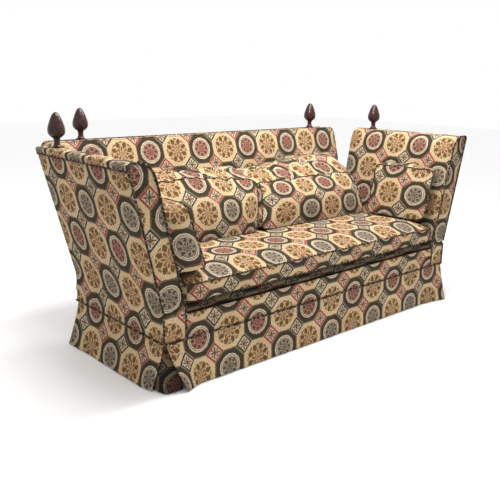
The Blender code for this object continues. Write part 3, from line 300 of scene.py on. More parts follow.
def quilt(name, stops, levels, face, backing, cloth):
    """A closed pad or sheet: a face and a backing over the same stops and levels, joined round the rim."""
    verts = []
    places = []
    for shape in (face, backing):
        for level in levels:
            for stop in stops:
                verts.append(shape(stop, level))
                places.append(cloth(stop, level))
    across = len(stops)
    up = len(levels)
    count = across * up
    faces = []
    for j in range(up - 1):
        for i in range(across - 1):
            a = j * across + i
            faces.append((a, a + 1, a + across + 1, a + across))
            faces.append((count + a + across, count + a + across + 1, count + a + 1, count + a))
    rim = [j * across + i for i, j in rim_of(across, up)]
    for here, after in zip(rim, rim[1:] + rim[:1]):
        faces.append((after, here, count + here, count + after))
    for k in rim:
        out = verts[k] - verts[count + k]
        u, v = places[k]
        i = k % across
        j = k // across
        u += out.length * (-1 if i == 0 else 1 if i == across - 1 else 0)
        v += out.length * (-1 if j == 0 else 1 if j == up - 1 else 0)
        places[count + k] = (u, v)
    mesh = mesh_of(name, verts, faces, places)
    outward(mesh)
    return mesh


def rim_of(count_u, count_v):
    """Index pairs round the rim of a grid, in order."""
    rim = [(i, 0) for i in range(count_u - 1)]
    rim += [(count_u - 1, j) for j in range(count_v - 1)]
    rim += [(i, count_v - 1) for i in range(count_u - 1, 0, -1)]
    rim += [(0, j) for j in range(count_v - 1, 0, -1)]
    return rim


def pad(name, nodes, body, shape, finish_name="tapestry"):
    """A padded cover that stands for solids. shape is quilt's: stops, levels, face, backing and cloth."""
    obj = add_piece(name, quilt(name, *shape), finish_name, body, nodes)


def points_of(mesh):
    points = np.zeros(len(mesh.vertices) * 3)
    mesh.vertices.foreach_get("co", points)
    return points.reshape(-1, 3)


def outward(mesh):
    """Turns the mesh inside out if its faces point in."""
    points = points_of(mesh)
    mesh.calc_loop_triangles()
    corners = np.zeros(len(mesh.loop_triangles) * 3, np.int32)
    mesh.loop_triangles.foreach_get("vertices", corners)
    a, b, c = (points[corners.reshape(-1, 3)[:, k]] for k in range(3))
    if np.einsum("ij,ij->i", a, np.cross(b, c)).sum() < 0:
        mesh.flip_normals()


def run_lengths(line):
    """Length along a line up to each of its points."""
    lengths = [0.0]
    for before, after in zip(line, line[1:]):
        lengths.append(lengths[-1] + (after - before).length)
    return lengths


def smooth_line(points, step):
    """Points along a smooth curve through the given ones, about a step apart."""
    places = [Vector(point) for point in points]
    ends = [2 * places[0] - places[1]] + places + [2 * places[-1] - places[-2]]
    line = []
    for before, start, end, after in zip(ends, ends[1:], ends[2:], ends[3:]):
        count = max(1, round((end - start).length / step))
        for i in range(count):
            t = i / count
            pull = (end - before) * t + (2 * before - 5 * start + 4 * end - after) * t**2
            pull += (3 * start - before - 3 * end + after) * t**3
            line.append(start + pull / 2)
    line.append(places[-1])
    return line


def straight_line(points, step):
    """Points a step apart along straight runs."""
    line = []
    for start, end in zip(points, points[1:]):
        start = Vector(start)
        run = Vector(end) - start
        count = max(1, round(run.length / step))
        line += [start + run * i / count for i in range(count)]
    return line + [Vector(points[-1])]


def cord_mesh(name, runs, radius, closed=False):
    """Covered cord along one or more lines, a little uneven, its cloth wound on the bias."""
    sides = 10
    verts = []
    faces = []
    places = []
    for line in runs:
        count = len(line)
        first = len(verts)
        length = 0.0
        across = (line[1] - line[0]).orthogonal().normalized()
        for k, place in enumerate(line):
            ahead = line[(k + 1) % count] if closed or k < count - 1 else place
            behind = line[k - 1] if closed or k > 0 else place
            way = (ahead - behind).normalized()
            across = (across - way * across.dot(way)).normalized()
            other = way.cross(across)
            if k:
                length += (place - line[k - 1]).length
            thick = radius * (1 + 0.07 * noise.noise(Vector((length * 90.0, first, 0.0))))
            for side in range(sides):
                turn = 2 * math.pi * side / sides
                verts.append(place + thick * (across * math.cos(turn) + other * math.sin(turn)))
                places.append((length * 0.72, length * 0.69 + radius * turn))
        for k in range(count if closed else count - 1):
            for side in range(sides):
                nearby = (side + 1) % sides
                a = first + k * sides
                b = first + (k + 1) % count * sides
                faces.append((a + side, a + nearby, b + nearby, b + side))
        if not closed:
            faces.append([first + side for side in reversed(range(sides))])
            faces.append([first + (count - 1) * sides + side for side in range(sides)])
    return mesh_of(name, verts, faces, places)


# Finishes


class NodeBench:
    """Adds nodes to a tree. Each call gives back an output socket, so sums read from the inside out."""

    def __init__(self, tree):
        self.tree = tree

    def node(self, kind, **settings):
        made = self.tree.nodes.new(kind)
        for key, value in settings.items():
            setattr(made, key, value)
        return made

    def feed(self, socket, value):
        if isinstance(value, bpy.types.NodeSocket):
            self.tree.links.new(value, socket)
        else:
            socket.default_value = value

    def math(self, operation, *values):
        made = self.node("ShaderNodeMath", operation=operation)
        for socket, value in zip(made.inputs, values):
            self.feed(socket, value)
        return made.outputs[0]

    def add(self, a, b):
        return self.math("ADD", a, b)

    def less(self, a, b):
        return self.math("SUBTRACT", a, b)

    def times(self, a, b):
        return self.math("MULTIPLY", a, b)

    def above(self, a, b):
        return self.math("GREATER_THAN", a, b)

    def below(self, a, b):
        return self.math("LESS_THAN", a, b)

    def either(self, a, b):
        return self.math("MAXIMUM", a, b)

    def near(self, value, middle, reach):
        """1 where the value is within reach of the middle."""
        return self.below(self.math("ABSOLUTE", self.less(value, middle)), reach)

    def vector(self, operation, a, b=None, scale=None):
        made = self.node("ShaderNodeVectorMath", operation=operation)
        self.feed(made.inputs[0], a)
        if b is not None:
            self.feed(made.inputs[1], b)
        if scale is not None:
            self.feed(made.inputs["Scale"], scale)
        return made.outputs["Value" if operation == "LENGTH" else "Vector"]

    def split(self, value):
        made = self.node("ShaderNodeSeparateXYZ")
        self.feed(made.inputs[0], value)
        return made.outputs[0], made.outputs[1], made.outputs[2]

    def join(self, x, y, z=0.0):
        made = self.node("ShaderNodeCombineXYZ")
        for socket, value in zip(made.inputs, (x, y, z)):
            self.feed(socket, value)
        return made.outputs[0]

    def paint(self, share, under, over, blend_type="MIX"):
        """The colour over laid on the colour under, by a share."""
        made = self.node("ShaderNodeMix", data_type="RGBA", blend_type=blend_type)
        self.feed(made.inputs["Factor"], share)
        colours = [socket for socket in made.inputs if socket.type == "RGBA"]
        self.feed(colours[0], under)
        self.feed(colours[1], over)
        return [socket for socket in made.outputs if socket.type == "RGBA"][0]

    def embroider(self, ground, *figures):
        """The ground with figures laid on it in turn, each given as (mask, share, colour)."""
        for mask, share, thread in figures:
            ground = self.paint(self.times(mask, share), ground, thread)
        return ground

    def speckle(self, place, scale, detail=2.0, roughness=0.5):
        made = self.node("ShaderNodeTexNoise")
        self.feed(made.inputs["Vector"], place)
        made.inputs["Scale"].default_value = scale
        made.inputs["Detail"].default_value = detail
        made.inputs["Roughness"].default_value = roughness
        return made.outputs["Fac"]

    def ranged(self, value, low, high, to_low, to_high):
        made = self.node("ShaderNodeMapRange")
        for socket, number in zip(made.inputs, (value, low, high, to_low, to_high)):
            self.feed(socket, number)
        return made.outputs[0]

    def group(self, tree, **values):
        made = self.node("ShaderNodeGroup", node_tree=tree)
        for key, value in values.items():
            self.feed(made.inputs[key.replace("_", " ")], value)
        return made


def new_group(name, inputs, outputs):
    """An empty node group with named sockets, and a bench and its input node to build it with."""
    tree = bpy.data.node_groups.new(name, "ShaderNodeTree")
    for label, kind, default in inputs:
        socket = tree.interface.new_socket(label, in_out="INPUT", socket_type=kind)
        if default is not None:
            socket.default_value = default
    for label, kind in outputs:
        tree.interface.new_socket(label, in_out="OUTPUT", socket_type=kind)
    bench = NodeBench(tree)
    entry = bench.node("NodeGroupInput")
    leave = bench.node("NodeGroupOutput")
    return tree, bench, entry, leave


def colour(rgb, factor=1.0):
    return (rgb[0] * factor, rgb[1] * factor, rgb[2] * factor, 1.0)


def figured_cloth_group():
    """The tapestry's figures: octagons, alternately light and dark, with diamonds between their corners."""
    known = bpy.data.node_groups.get("Figured Cloth")
    if known:
        return known
    cloth = bpy.context.scene.knole_cloth
    inputs = (
        ("Place", "NodeSocketVector", None),
        ("Pitch", "NodeSocketFloat", cloth.figure_pitch),
        ("Stitch", "NodeSocketFloat", cloth.stitch),
        ("Light", "NodeSocketColor", colour(cloth.light)),
        ("Dark", "NodeSocketColor", colour(cloth.dark)),
        ("Pale", "NodeSocketColor", colour(cloth.pale)),
        ("Red", "NodeSocketColor", colour(cloth.red)),
        ("Slate", "NodeSocketColor", colour(cloth.slate)),
        ("Teal", "NodeSocketColor", colour(cloth.teal)),
        ("Leaf", "NodeSocketColor", colour(cloth.leaf)),
    )
    tree, b, entry, leave = new_group("Figured Cloth", inputs, (("Color", "NodeSocketColor"),))
    given = entry.outputs
    wander = b.node("ShaderNodeTexNoise")
    b.feed(wander.inputs["Vector"], given["Place"])
    wander.inputs["Scale"].default_value = 110.0
    stray = b.vector("SUBTRACT", wander.outputs["Color"], (0.5, 0.5, 0.5))
    strayed = b.vector("ADD", given["Place"], b.vector("MULTIPLY", stray, (0.006, 0.006, 0.0)))
    stepped = b.vector("SNAP", strayed, b.join(given["Stitch"], given["Stitch"], 0.1))
    x, y, _ = b.split(b.vector("SCALE", stepped, scale=b.math("DIVIDE", 1.0, given["Pitch"])))
    column = b.math("ROUND", x)
    row = b.math("ROUND", y)
    from_x = b.less(x, column)
    from_y = b.less(y, row)
    away_x = b.math("ABSOLUTE", from_x)
    away_y = b.math("ABSOLUTE", from_y)
    dark_cell = b.less(1.0, b.math("FLOORED_MODULO", b.add(column, row), 2.0))
    slate_row = b.math("FLOORED_MODULO", row, 2.0)
    crossing = b.add(b.math("FLOOR", x), b.math("FLOOR", y))
    teal_crossing = b.less(1.0, b.math("FLOORED_MODULO", crossing, 2.0))
    radius = b.vector("LENGTH", b.join(from_x, from_y))
    turn = b.math("ARCTAN2", from_y, from_x)
    eighths = b.math("COSINE", b.times(turn, 8.0))
    opposite = b.times(eighths, -1.0)

    # The light octagon: closely worked leaves and buds in a wreath, round a rust ring and a fine rayed heart
    slanted = b.times(b.add(away_x, away_y), math.sqrt(0.5))
    edge = b.either(b.either(away_x, away_y), slanted)
    flecks = b.above(b.speckle(stepped, 230.0, 2.0, 0.6), 0.53)
    rust = b.paint(0.4, given["Leaf"], given["Red"])
    light = b.paint(b.ranged(edge, 0.40, 0.46, 0.0, 0.35), given["Light"], given["Pale"])
    leaves = b.near(radius, 0.28, b.times(b.add(opposite, 0.6), 0.066))
    buds = b.near(radius, 0.36, b.times(eighths, 0.03))
    strokes = b.near(radius, 0.16, b.times(b.add(eighths, 0.25), 0.055))
    rays = b.times(b.near(radius, 0.08, 0.035), b.above(b.math("COSINE", b.times(turn, 16.0)), 0.1))
    light = b.embroider(
        light,
        (b.times(flecks, b.below(radius, 0.385)), 0.7, given["Leaf"]),
        (leaves, 0.92, given["Leaf"]),
        (buds, 0.75, given["Leaf"]),
        (strokes, 0.85, rust),
        (rays, 0.75, given["Leaf"]),
        (b.below(radius, 0.032), 0.7, rust),
    )

    # The dark octagon: a pale ring with a fine line in it, round a small disc of dark dots
    faded = b.paint(0.32, given["Leaf"], given["Light"])
    dark = b.paint(b.ranged(edge, 0.445, 0.5, 0.0, 0.7), given["Dark"], faded)
    disc_colour = b.paint(slate_row, b.paint(0.24, given["Red"], given["Pale"]), given["Slate"])
    dots = b.near(radius, 0.182, b.times(b.add(eighths, 0.3), 0.048))
    inner_dots = b.near(radius, 0.092, b.times(b.add(opposite, 0.2), 0.042))
    worked = b.times(b.times(flecks, b.below(radius, 0.24)), 0.5)
    rosette = b.either(b.either(dots, inner_dots), worked)
    ticks = b.times(b.near(radius, 0.136, 0.013), b.above(b.math("COSINE", b.times(turn, 12.0)), 0.2))
    dark = b.embroider(
        dark,
        (b.below(radius, 0.352), 1.0, given["Pale"]),
        (b.near(radius, 0.303, 0.010), 0.8, given["Leaf"]),
        (b.below(radius, 0.262), 1.0, given["Dark"]),
        (b.below(radius, 0.244), 1.0, disc_colour),
        (rosette, 0.9, given["Dark"]),
        (ticks, 0.5, given["Pale"]),
        (b.below(radius, 0.03), 1.0, given["Leaf"]),
    )
    octagon = b.paint(dark_cell, light, dark)

    # The diamond between four octagons
    flower_x = b.less(0.5, away_x)
    flower_y = b.less(0.5, away_y)
    reach = b.add(flower_x, flower_y)
    line_colour = b.paint(teal_crossing, given["Red"], given["Teal"])
    diamond = b.paint(b.times(b.less(1.0, teal_crossing), 0.22), given["Pale"], given["Red"])
    far = b.vector("LENGTH", b.join(flower_x, flower_y))
    quarters = b.math("COSINE", b.times(b.math("ARCTAN2", flower_y, flower_x), 4.0))
    petals = b.below(far, b.times(b.either(quarters, 0.32), 0.175))
    diamond = b.embroider(
        diamond,
        (b.below(reach, 0.19), 1.0, given["Pale"]),
        (b.near(reach, 0.25, 0.032), 1.0, line_colour),
        (petals, 0.9, b.paint(0.45, given["Leaf"], given["Dark"])),
        (b.near(far, 0.105, b.times(quarters, -0.045)), 0.7, given["Leaf"]),
        (b.below(far, 0.028), 0.7, rust),
    )

    figured = b.paint(b.below(reach, 0.293), octagon, diamond)
    mottle = b.ranged(b.speckle(given["Place"], 170.0, 3.0, 0.7), 0.32, 0.68, 0.54, 1.42)
    b.feed(leave.inputs["Color"], b.vector("SCALE", figured, scale=mottle))
    return tree


def weave_group():
    """Ribs of a flat-woven cloth: their height, and a tone that is partly painted shade, darker in the
    grooves between ribs, and partly uneven slubs.
    """
    known = bpy.data.node_groups.get("Weave")
    if known:
        return known
    inputs = (
        ("Place", "NodeSocketVector", None),
        ("Thread", "NodeSocketFloat", bpy.context.scene.knole_cloth.thread),
        ("Slub", "NodeSocketFloat", 0.5),
    )
    outputs = (("Height", "NodeSocketFloat"), ("Shade", "NodeSocketFloat"))
    tree, b, entry, leave = new_group("Weave", inputs, outputs)
    given = entry.outputs
    x, y, _ = b.split(b.vector("SCALE", given["Place"], scale=b.math("DIVIDE", math.pi, given["Thread"])))
    weft = b.math("ABSOLUTE", b.math("SINE", x))
    offset = b.times(b.math("FLOOR", b.math("DIVIDE", x, math.pi)), math.pi / 2)
    warp = b.math("ABSOLUTE", b.math("SINE", b.add(b.times(y, 0.6), offset)))
    ribs = b.times(weft, b.add(0.35, b.times(warp, 0.65)))
    slub = b.speckle(b.vector("MULTIPLY", given["Place"], (260.0, 1400.0, 0.0)), 1.0, 3.0, 0.6)
    height = b.add(ribs, b.times(b.less(slub, 0.5), given["Slub"]))
    # The tone: painted shade from the ribs' height, darker in their grooves, and slubs that differ at random
    shade = b.add(b.times(ribs, 0.35), b.times(slub, 0.9))
    b.feed(leave.inputs["Height"], height)
    b.feed(leave.inputs["Shade"], shade)
    return tree


def handling_group():
    """Uneven fading and soiling of cloth or polish, in broad patches and fine specks."""
    known = bpy.data.node_groups.get("Handling")
    if known:
        return known
    inputs = (
        ("Color", "NodeSocketColor", None),
        ("Place", "NodeSocketVector", None),
        ("Tint", "NodeSocketColor", (0.25, 0.17, 0.09, 1.0)),
        ("Amount", "NodeSocketFloat", 0.25),
    )
    tree, b, entry, leave = new_group("Handling", inputs, (("Color", "NodeSocketColor"),))
    given = entry.outputs
    broad = b.ranged(b.speckle(given["Place"], 5.0, 3.0), 0.35, 0.75, 0.0, 1.0)
    fine = b.ranged(b.speckle(given["Place"], 160.0, 2.0), 0.45, 0.7, 0.0, 0.6)
    share = b.times(b.either(broad, fine), given["Amount"])
    b.feed(leave.inputs["Color"], b.paint(share, given["Color"], given["Tint"], "MULTIPLY"))
    return tree


def grain_group():
    """Long wood grain with pores, along X of the place it is given."""
    known = bpy.data.node_groups.get("Grain")
    if known:
        return known
    inputs = (
        ("Place", "NodeSocketVector", None),
        ("Early", "NodeSocketColor", None),
        ("Late", "NodeSocketColor", None),
        ("Fineness", "NodeSocketFloat", 1.0),
    )
    outputs = (("Color", "NodeSocketColor"), ("Pores", "NodeSocketFloat"))
    tree, b, entry, leave = new_group("Grain", inputs, outputs)
    given = entry.outputs
    place = b.vector("SCALE", given["Place"], scale=given["Fineness"])
    warped = b.vector("ADD", place, b.vector("SCALE", b.join(0.0, b.speckle(place, 3.0), 0.0), scale=0.12))
    rings = b.speckle(b.vector("MULTIPLY", warped, (1.2, 34.0, 34.0)), 1.0, 4.0, 0.55)
    pores = b.speckle(b.vector("MULTIPLY", warped, (40.0, 900.0, 900.0)), 1.0, 2.0, 0.6)
    tone = b.ranged(rings, 0.35, 0.68, 0.0, 1.0)
    shaded = b.paint(tone, given["Early"], given["Late"])
    pits = b.ranged(pores, 0.56, 0.7, 0.0, 1.0)
    b.feed(leave.inputs["Color"], b.paint(b.times(pits, 0.35), shaded, given["Late"], "MULTIPLY"))
    b.feed(leave.inputs["Pores"], pits)
    return tree


def add_bump(b, shader, height, distance, strength=1.0):
    bump = b.node("ShaderNodeBump")
    bump.inputs["Strength"].default_value = strength
    bump.inputs["Distance"].default_value = distance
    b.feed(bump.inputs["Height"], height)
    b.feed(shader.inputs["Normal"], bump.outputs["Normal"])


def object_place(b):
    return b.node("ShaderNodeTexCoord").outputs["Object"]


def figured_finish(b, shader, depth, soil, figure_scale=1.0, dashes=False):
    """The tapestry with its weave, slubs and wear: lit at a depth of 1, and dimmed by a lower depth as
    painted shade where it lies in a fold.

    On covered cord its dark ground shows, broken by short dashes of the figures.
    """
    cloth = bpy.context.scene.knole_cloth
    place = b.node("ShaderNodeAttribute", attribute_name=CLOTH_PLACE).outputs["Vector"]
    drawn = b.vector("SCALE", place, scale=figure_scale)
    figures = b.group(figured_cloth_group(), Place=drawn, Stitch=cloth.stitch)
    weave = b.group(weave_group(), Place=place)
    # The weave's tone, partly painted shade in the grooves between ribs and partly slubs, lightens and
    # darkens the figures
    shade = b.ranged(weave.outputs["Shade"], 0.2, 0.95, 0.72, 1.22)
    drawing = figures.outputs["Color"]
    if dashes:
        share = b.ranged(b.speckle(place, 75.0, 2.0), 0.46, 0.62, 0.0, 1.0)
        drawing = b.paint(share, colour(cloth.dark, 0.7), drawing)
    # depth scales the colour down: painted shade where the cloth lies in a fold
    shaded = b.vector("SCALE", drawing, scale=b.times(shade, depth))
    worn = b.group(handling_group(), Color=shaded, Place=place, Amount=soil)
    b.feed(shader.inputs["Base Color"], worn.outputs["Color"])
    b.feed(shader.inputs["Roughness"], b.ranged(weave.outputs["Shade"], 0.2, 0.95, 0.78, 0.95))
    shader.inputs["Sheen Weight"].default_value = 0.015
    shader.inputs["Sheen Roughness"].default_value = 0.45
    shader.inputs["Specular IOR Level"].default_value = 0.08
    add_bump(b, shader, weave.outputs["Height"], 0.0007, 0.55)


def wood_finish(b, shader, early, late, roughness, coat, fineness):
    """Waxed or polished wood with its grain, pores and smudges."""
    place = object_place(b)
    tones = {"Early": colour(early), "Late": colour(late)}
    grain = b.group(grain_group(), Place=place, Fineness=fineness, **tones)
    worn = b.group(handling_group(), Color=grain.outputs["Color"], Place=place, Amount=0.3)
    b.feed(shader.inputs["Base Color"], worn.outputs["Color"])
    smudge = b.speckle(place, 30.0, 3.0)
    b.feed(shader.inputs["Roughness"], b.ranged(smudge, 0.3, 0.7, roughness * 0.85, roughness * 1.2))
    shader.inputs["Coat Weight"].default_value = coat
    shader.inputs["Coat Roughness"].default_value = 0.06
    shader.inputs["Specular IOR Level"].default_value = 0.2
    add_bump(b, shader, b.less(1.0, grain.outputs["Pores"]), 0.0003, 0.3)


def plain_cloth_finish(b, shader, light, dark, thread):
    """Unpatterned cloth, such as webbing and lining, with the same weave."""
    place = object_place(b)
    weave = b.group(weave_group(), Place=place, Thread=thread)
    # The weave's tone mixes the two colours: painted shade in the grooves between ribs, and slubs that differ
    # at random
    share = b.ranged(weave.outputs["Shade"], 0.2, 0.95, 0.0, 1.0)
    shaded = b.paint(share, colour(dark), colour(light))
    worn = b.group(handling_group(), Color=shaded, Place=place, Amount=0.4)
    b.feed(shader.inputs["Base Color"], worn.outputs["Color"])
    b.feed(shader.inputs["Roughness"], b.ranged(weave.outputs["Shade"], 0.2, 0.95, 0.85, 0.98))
    add_bump(b, shader, weave.outputs["Height"], 0.0006, 0.6)


def steel_finish(b, shader):
    """Rolled steel with fine draw lines and a little rust in patches."""
    place = object_place(b)
    lines = b.speckle(b.vector("MULTIPLY", place, (900.0, 12.0, 900.0)), 1.0, 3.0)
    rust = b.ranged(b.speckle(place, 45.0, 4.0), 0.6, 0.75, 0.0, 0.8)
    metal = b.paint(lines, (0.36, 0.36, 0.37, 1.0), (0.55, 0.55, 0.56, 1.0))
    b.feed(shader.inputs["Base Color"], b.paint(rust, metal, (0.16, 0.07, 0.03, 1.0)))
    b.feed(shader.inputs["Metallic"], b.less(1.0, rust))
    b.feed(shader.inputs["Roughness"], b.ranged(lines, 0.3, 0.7, 0.28, 0.5))
    add_bump(b, shader, lines, 0.0002, 0.3)


def floor_finish(b, shader):
    """A pale floor, hardly mottled."""
    tone = b.speckle(object_place(b), 0.6, 2.0)
    pale = bpy.context.scene.knole_studio.floor_colour
    b.feed(shader.inputs["Base Color"], b.paint(tone, colour(pale, 0.985), colour(pale)))
    shader.inputs["Roughness"].default_value = 0.75


# What makes each finish, and its looks
FINISHES = {
    "tapestry": (figured_finish, 1.0, 0.3),
    # Painted shade: the tapestry dimmed to a quarter, for cloth lying in shade under the seat and behind the
    # skirt's corners
    "tapestry_inset": (figured_finish, 0.24, 0.5),
    "piping_cloth": (figured_finish, 0.75, 0.35, 2.3, True),
    "beech": (wood_finish, (0.62, 0.41, 0.22), (0.42, 0.24, 0.11), 0.55, 0.0, 1.0),
    "mahogany": (wood_finish, (0.045, 0.011, 0.008), (0.012, 0.004, 0.003), 0.22, 0.3, 4.0),
    "jute": (plain_cloth_finish, (0.50, 0.37, 0.20), (0.24, 0.16, 0.08), 0.0024),
    "black_lining": (plain_cloth_finish, (0.030, 0.030, 0.032), (0.012, 0.012, 0.013), 0.0009),
    "steel": (steel_finish,),
    "studio_floor": (floor_finish,),
}


def finish(name):
    """The named material, made when a piece first asks for it."""
    known = bpy.data.materials.get("finish_" + name)
    if known:
        return known
    material = bpy.data.materials.new("finish_" + name)
    material.use_nodes = True
    maker, *looks = FINISHES[name]
    maker(NodeBench(material.node_tree), material.node_tree.nodes["Principled BSDF"], *looks)
    return material


# Settings


def length_setting(name, description, default):
    return bpy.props.FloatProperty(name=name, description=description, default=default, unit="LENGTH")


def colour_setting(name, description, default):
    kind = bpy.props.FloatVectorProperty
    return kind(name=name, description=description, default=default, subtype="COLOR")


class KnoleClothSettings(bpy.types.PropertyGroup):
    """Colours and scale of the tapestry."""

    figure_pitch: length_setting("Figure pitch", "Distance between the centres of two octagons", FIGURE_PITCH)
    stitch: length_setting("Stitch", "Smallest step in the edges of the figures", 0.0018)
    thread: length_setting("Thread", "Distance between two ribs of the weave", 0.0011)
    light: colour_setting("Light octagons", "Old gold ground", (0.495, 0.352, 0.192))
    dark: colour_setting("Dark octagons", "Brown black ground", (0.040, 0.032, 0.021))
    pale: colour_setting("Rings", "Pale rings and diamonds", (0.47, 0.385, 0.275))
    red: colour_setting("Red", "Discs and diamond outlines", (0.27, 0.040, 0.030))
    slate: colour_setting("Slate", "Discs of every second row", (0.26, 0.21, 0.158))
    teal: colour_setting("Teal", "Outlines of every second diamond", (0.022, 0.030, 0.024))
    leaf: colour_setting("Leaf", "Leaves and flowers", (0.095, 0.044, 0.014))


class KnoleCoverSettings(bpy.types.PropertyGroup):
    """Fixed covers and piping."""

    piping_radius: length_setting("Piping radius", "Radius of the covered cord", 0.0042)
    arm_crown: length_setting("Arm crown", "Fullness of the arms' inner pads", 0.007)
    back_crown: length_setting("Back crown", "Fullness of the back's pad", 0.012)
    unevenness: length_setting("Unevenness", "Slow waves of the stuffing", 0.0035)


class KnoleSkirtSettings(bpy.types.PropertyGroup):
    """The hanging skirt."""

    thickness: length_setting("Thickness", "Lined cloth", 0.003)
    side_flare: length_setting("Side flare", "How far the side hems stand out", 0.040)
    front_flare: length_setting("Front flare", "How far the front hem stands out", 0.010)
    wave: length_setting("Wave", "Depth of the hem's slow folds", 0.005)


class KnoleCushionSettings(bpy.types.PropertyGroup):
    """Loose cushions."""

    pressure: bpy.props.FloatProperty(
        name="Pressure", description="How hard the filling pushes the covers out", default=4.0
    )
    seat_cap: length_setting("Seat swell", "Most that the seat cushion swells", 0.012)
    back_cap: length_setting("Back swell", "Most that the back cushions swell", 0.022)
    arm_cap: length_setting("Arm swell", "Most that the arm cushions swell", 0.014)
    crease: length_setting("Crease", "Depth of the slumped back cushions' creases", 0.020)


class KnoleStudioSettings(bpy.types.PropertyGroup):
    """Floor, lights and camera."""

    floor_colour: colour_setting("Floor", "Colour of the floor", (0.95, 0.95, 0.95))
    key_power: bpy.props.FloatProperty(
        name="Key light", description="Power of the soft light above the seat", default=84.0, unit="POWER"
    )
    fill_strength: bpy.props.FloatProperty(
        name="Fill", description="Strength of the light from all round", default=1.0
    )
    lens: bpy.props.FloatProperty(
        name="Lens", description="Focal length", default=48.18, subtype="DISTANCE_CAMERA"
    )


SETTINGS = {
    "knole_cloth": KnoleClothSettings,
    "knole_covers": KnoleCoverSettings,
    "knole_skirt": KnoleSkirtSettings,
    "knole_cushions": KnoleCushionSettings,
    "knole_studio": KnoleStudioSettings,
}


# Frame parts, kept as they are


WOODEN = (
    "front_rail rear_rail left_side_rail right_side_rail centre_rail leg_front_left leg_front_right "
    "leg_rear_left leg_rear_right left_arm_frame right_arm_frame left_back_post right_back_post "
    "back_top_rail back_lower_rail"
).split()
STEEL = "left_hinge_arm_leaf left_hinge_base_leaf right_hinge_arm_leaf right_hinge_base_leaf".split()


class KNOLE_OT_frame_finishes(bpy.types.Operator):
    """Gives the carried-over frame, hinges, webbing and lining their finishes"""

    bl_idname = "knole.frame_finishes"
    bl_label = "Frame finishes"

    def execute(self, context):
        nodes = frame["nodes"]
        for words, finish_name in (
            (WOODEN, "beech"),
            (STEEL, "steel"),
            (("seat_webbing",), "jute"),
            (("bottom_lining",), "black_lining"),
        ):
            for word in words:
                mesh = nodes[word].data
                mesh.materials.clear()
                mesh.materials.append(finish(finish_name))
        return {"FINISHED"}


# The back


def back_cloth(x, z):
    rise = (z - HINGE_HEIGHT) / math.cos(BACK_RAKE)
    return x - BACK_FIGURE[0], rise - BACK_FIGURE[1]


def build_back_front(covers):
    """The padded front of the back, a little fuller between its edges."""
    rim = 0.003

    def face(s, z):
        share = (z - HINGE_HEIGHT) / BACK_RISE
        half = back_half(z) - rim
        fullness = crown((s + 1) / 2) * crown(share)
        edge = 1 - min(1.0, (1 - abs(s)) * half / 0.012) ** 0.5
        top_edge = 1 - min(1.0, (BACK_HEIGHT - z) / 0.012) ** 0.5
        y = back_front(z) - covers.back_crown * fullness + 0.006 * max(edge, top_edge)
        y += ripple((s * half, 0.0, z), 0.16, covers.unevenness * fullness, 3.0)
        return Vector((s * half, y, min(z, BACK_HEIGHT - rim)))

    def backing(s, z):
        x = s * (back_half(z) - rim)
        return Vector((x, back_front(z) + BACK_PAD_THICKNESS, min(z, BACK_HEIGHT - rim)))

    def cloth(s, z):
        return back_cloth(s * back_half(z), z)

    levels = spread(HINGE_HEIGHT, BACK_HEIGHT - 0.05, 34) + eased(BACK_HEIGHT - 0.05, BACK_HEIGHT, 12)[1:]
    shape = (eased(-1.0, 1.0, 110), levels, face, backing, cloth)
    pad("back_front_cover", ["back_front_pad"], "base", shape)


def back_outline(step):
    """The back's outline up one end, over the top and down the other."""
    line = []
    for z in spread(SEAM_HEIGHT, BACK_HEIGHT - BACK_CORNER_RADIUS, round(BACK_END_LENGTH / step)):
        line.append(Vector((-back_half(z), 0.0, z)))
    centre_x = BACK_SPAN / 2 - BACK_CORNER_RADIUS
    centre_z = BACK_HEIGHT - BACK_CORNER_RADIUS
    for turn in spread(math.pi, math.pi / 2, 8)[1:]:
        x = -centre_x + BACK_CORNER_RADIUS * math.cos(turn)
        line.append(Vector((x, 0.0, centre_z + BACK_CORNER_RADIUS * math.sin(turn))))
    for x in spread(-centre_x, centre_x, round(2 * centre_x / step))[1:]:
        line.append(Vector((x, 0.0, BACK_HEIGHT)))
    corner = round(BACK_END_LENGTH / step) + 8
    return line + [Vector((-point.x, 0.0, point.z)) for point in reversed(line[:corner])]


def build_back_edge():
    """One long strip that closes the back's ends and top, between the front and the rear piping."""
    line = back_outline(BACK_EDGE_STEP)
    lengths = run_lengths(line)
    ways = []
    for k in range(len(line)):
        along = line[min(k + 1, len(line) - 1)] - line[max(k - 1, 0)]
        ways.append(Vector((-along.z, 0.0, along.x)).normalized())

    def stood(k, t, out):
        z = line[k].z
        front = (back_front(z) if z > HINGE_HEIGHT else BASE_REAR_Y + GAP) + 0.001
        rear = back_front(z) + BACK_THICKNESS - 0.001
        point = line[k] + ways[k] * out
        return Vector((point.x, front + (rear - front) * t, point.z - BACK_TOP_FALL * t * ways[k].z))

    def face(k, t):
        return stood(k, t, 0.0022 * crown(t, 6))

    def backing(k, t):
        return stood(k, t, -0.0025)

    def cloth(k, t):
        return lengths[k] - lengths[-1] / 2 + BACK_FIGURE[0], t * BACK_THICKNESS

    nodes = ["left_back_end_strip", "right_back_end_strip", "back_top_strip"]
    pad("back_edge_cover", nodes, "base", (range(len(line)), eased(0.0, 1.0, 10), face, backing, cloth))


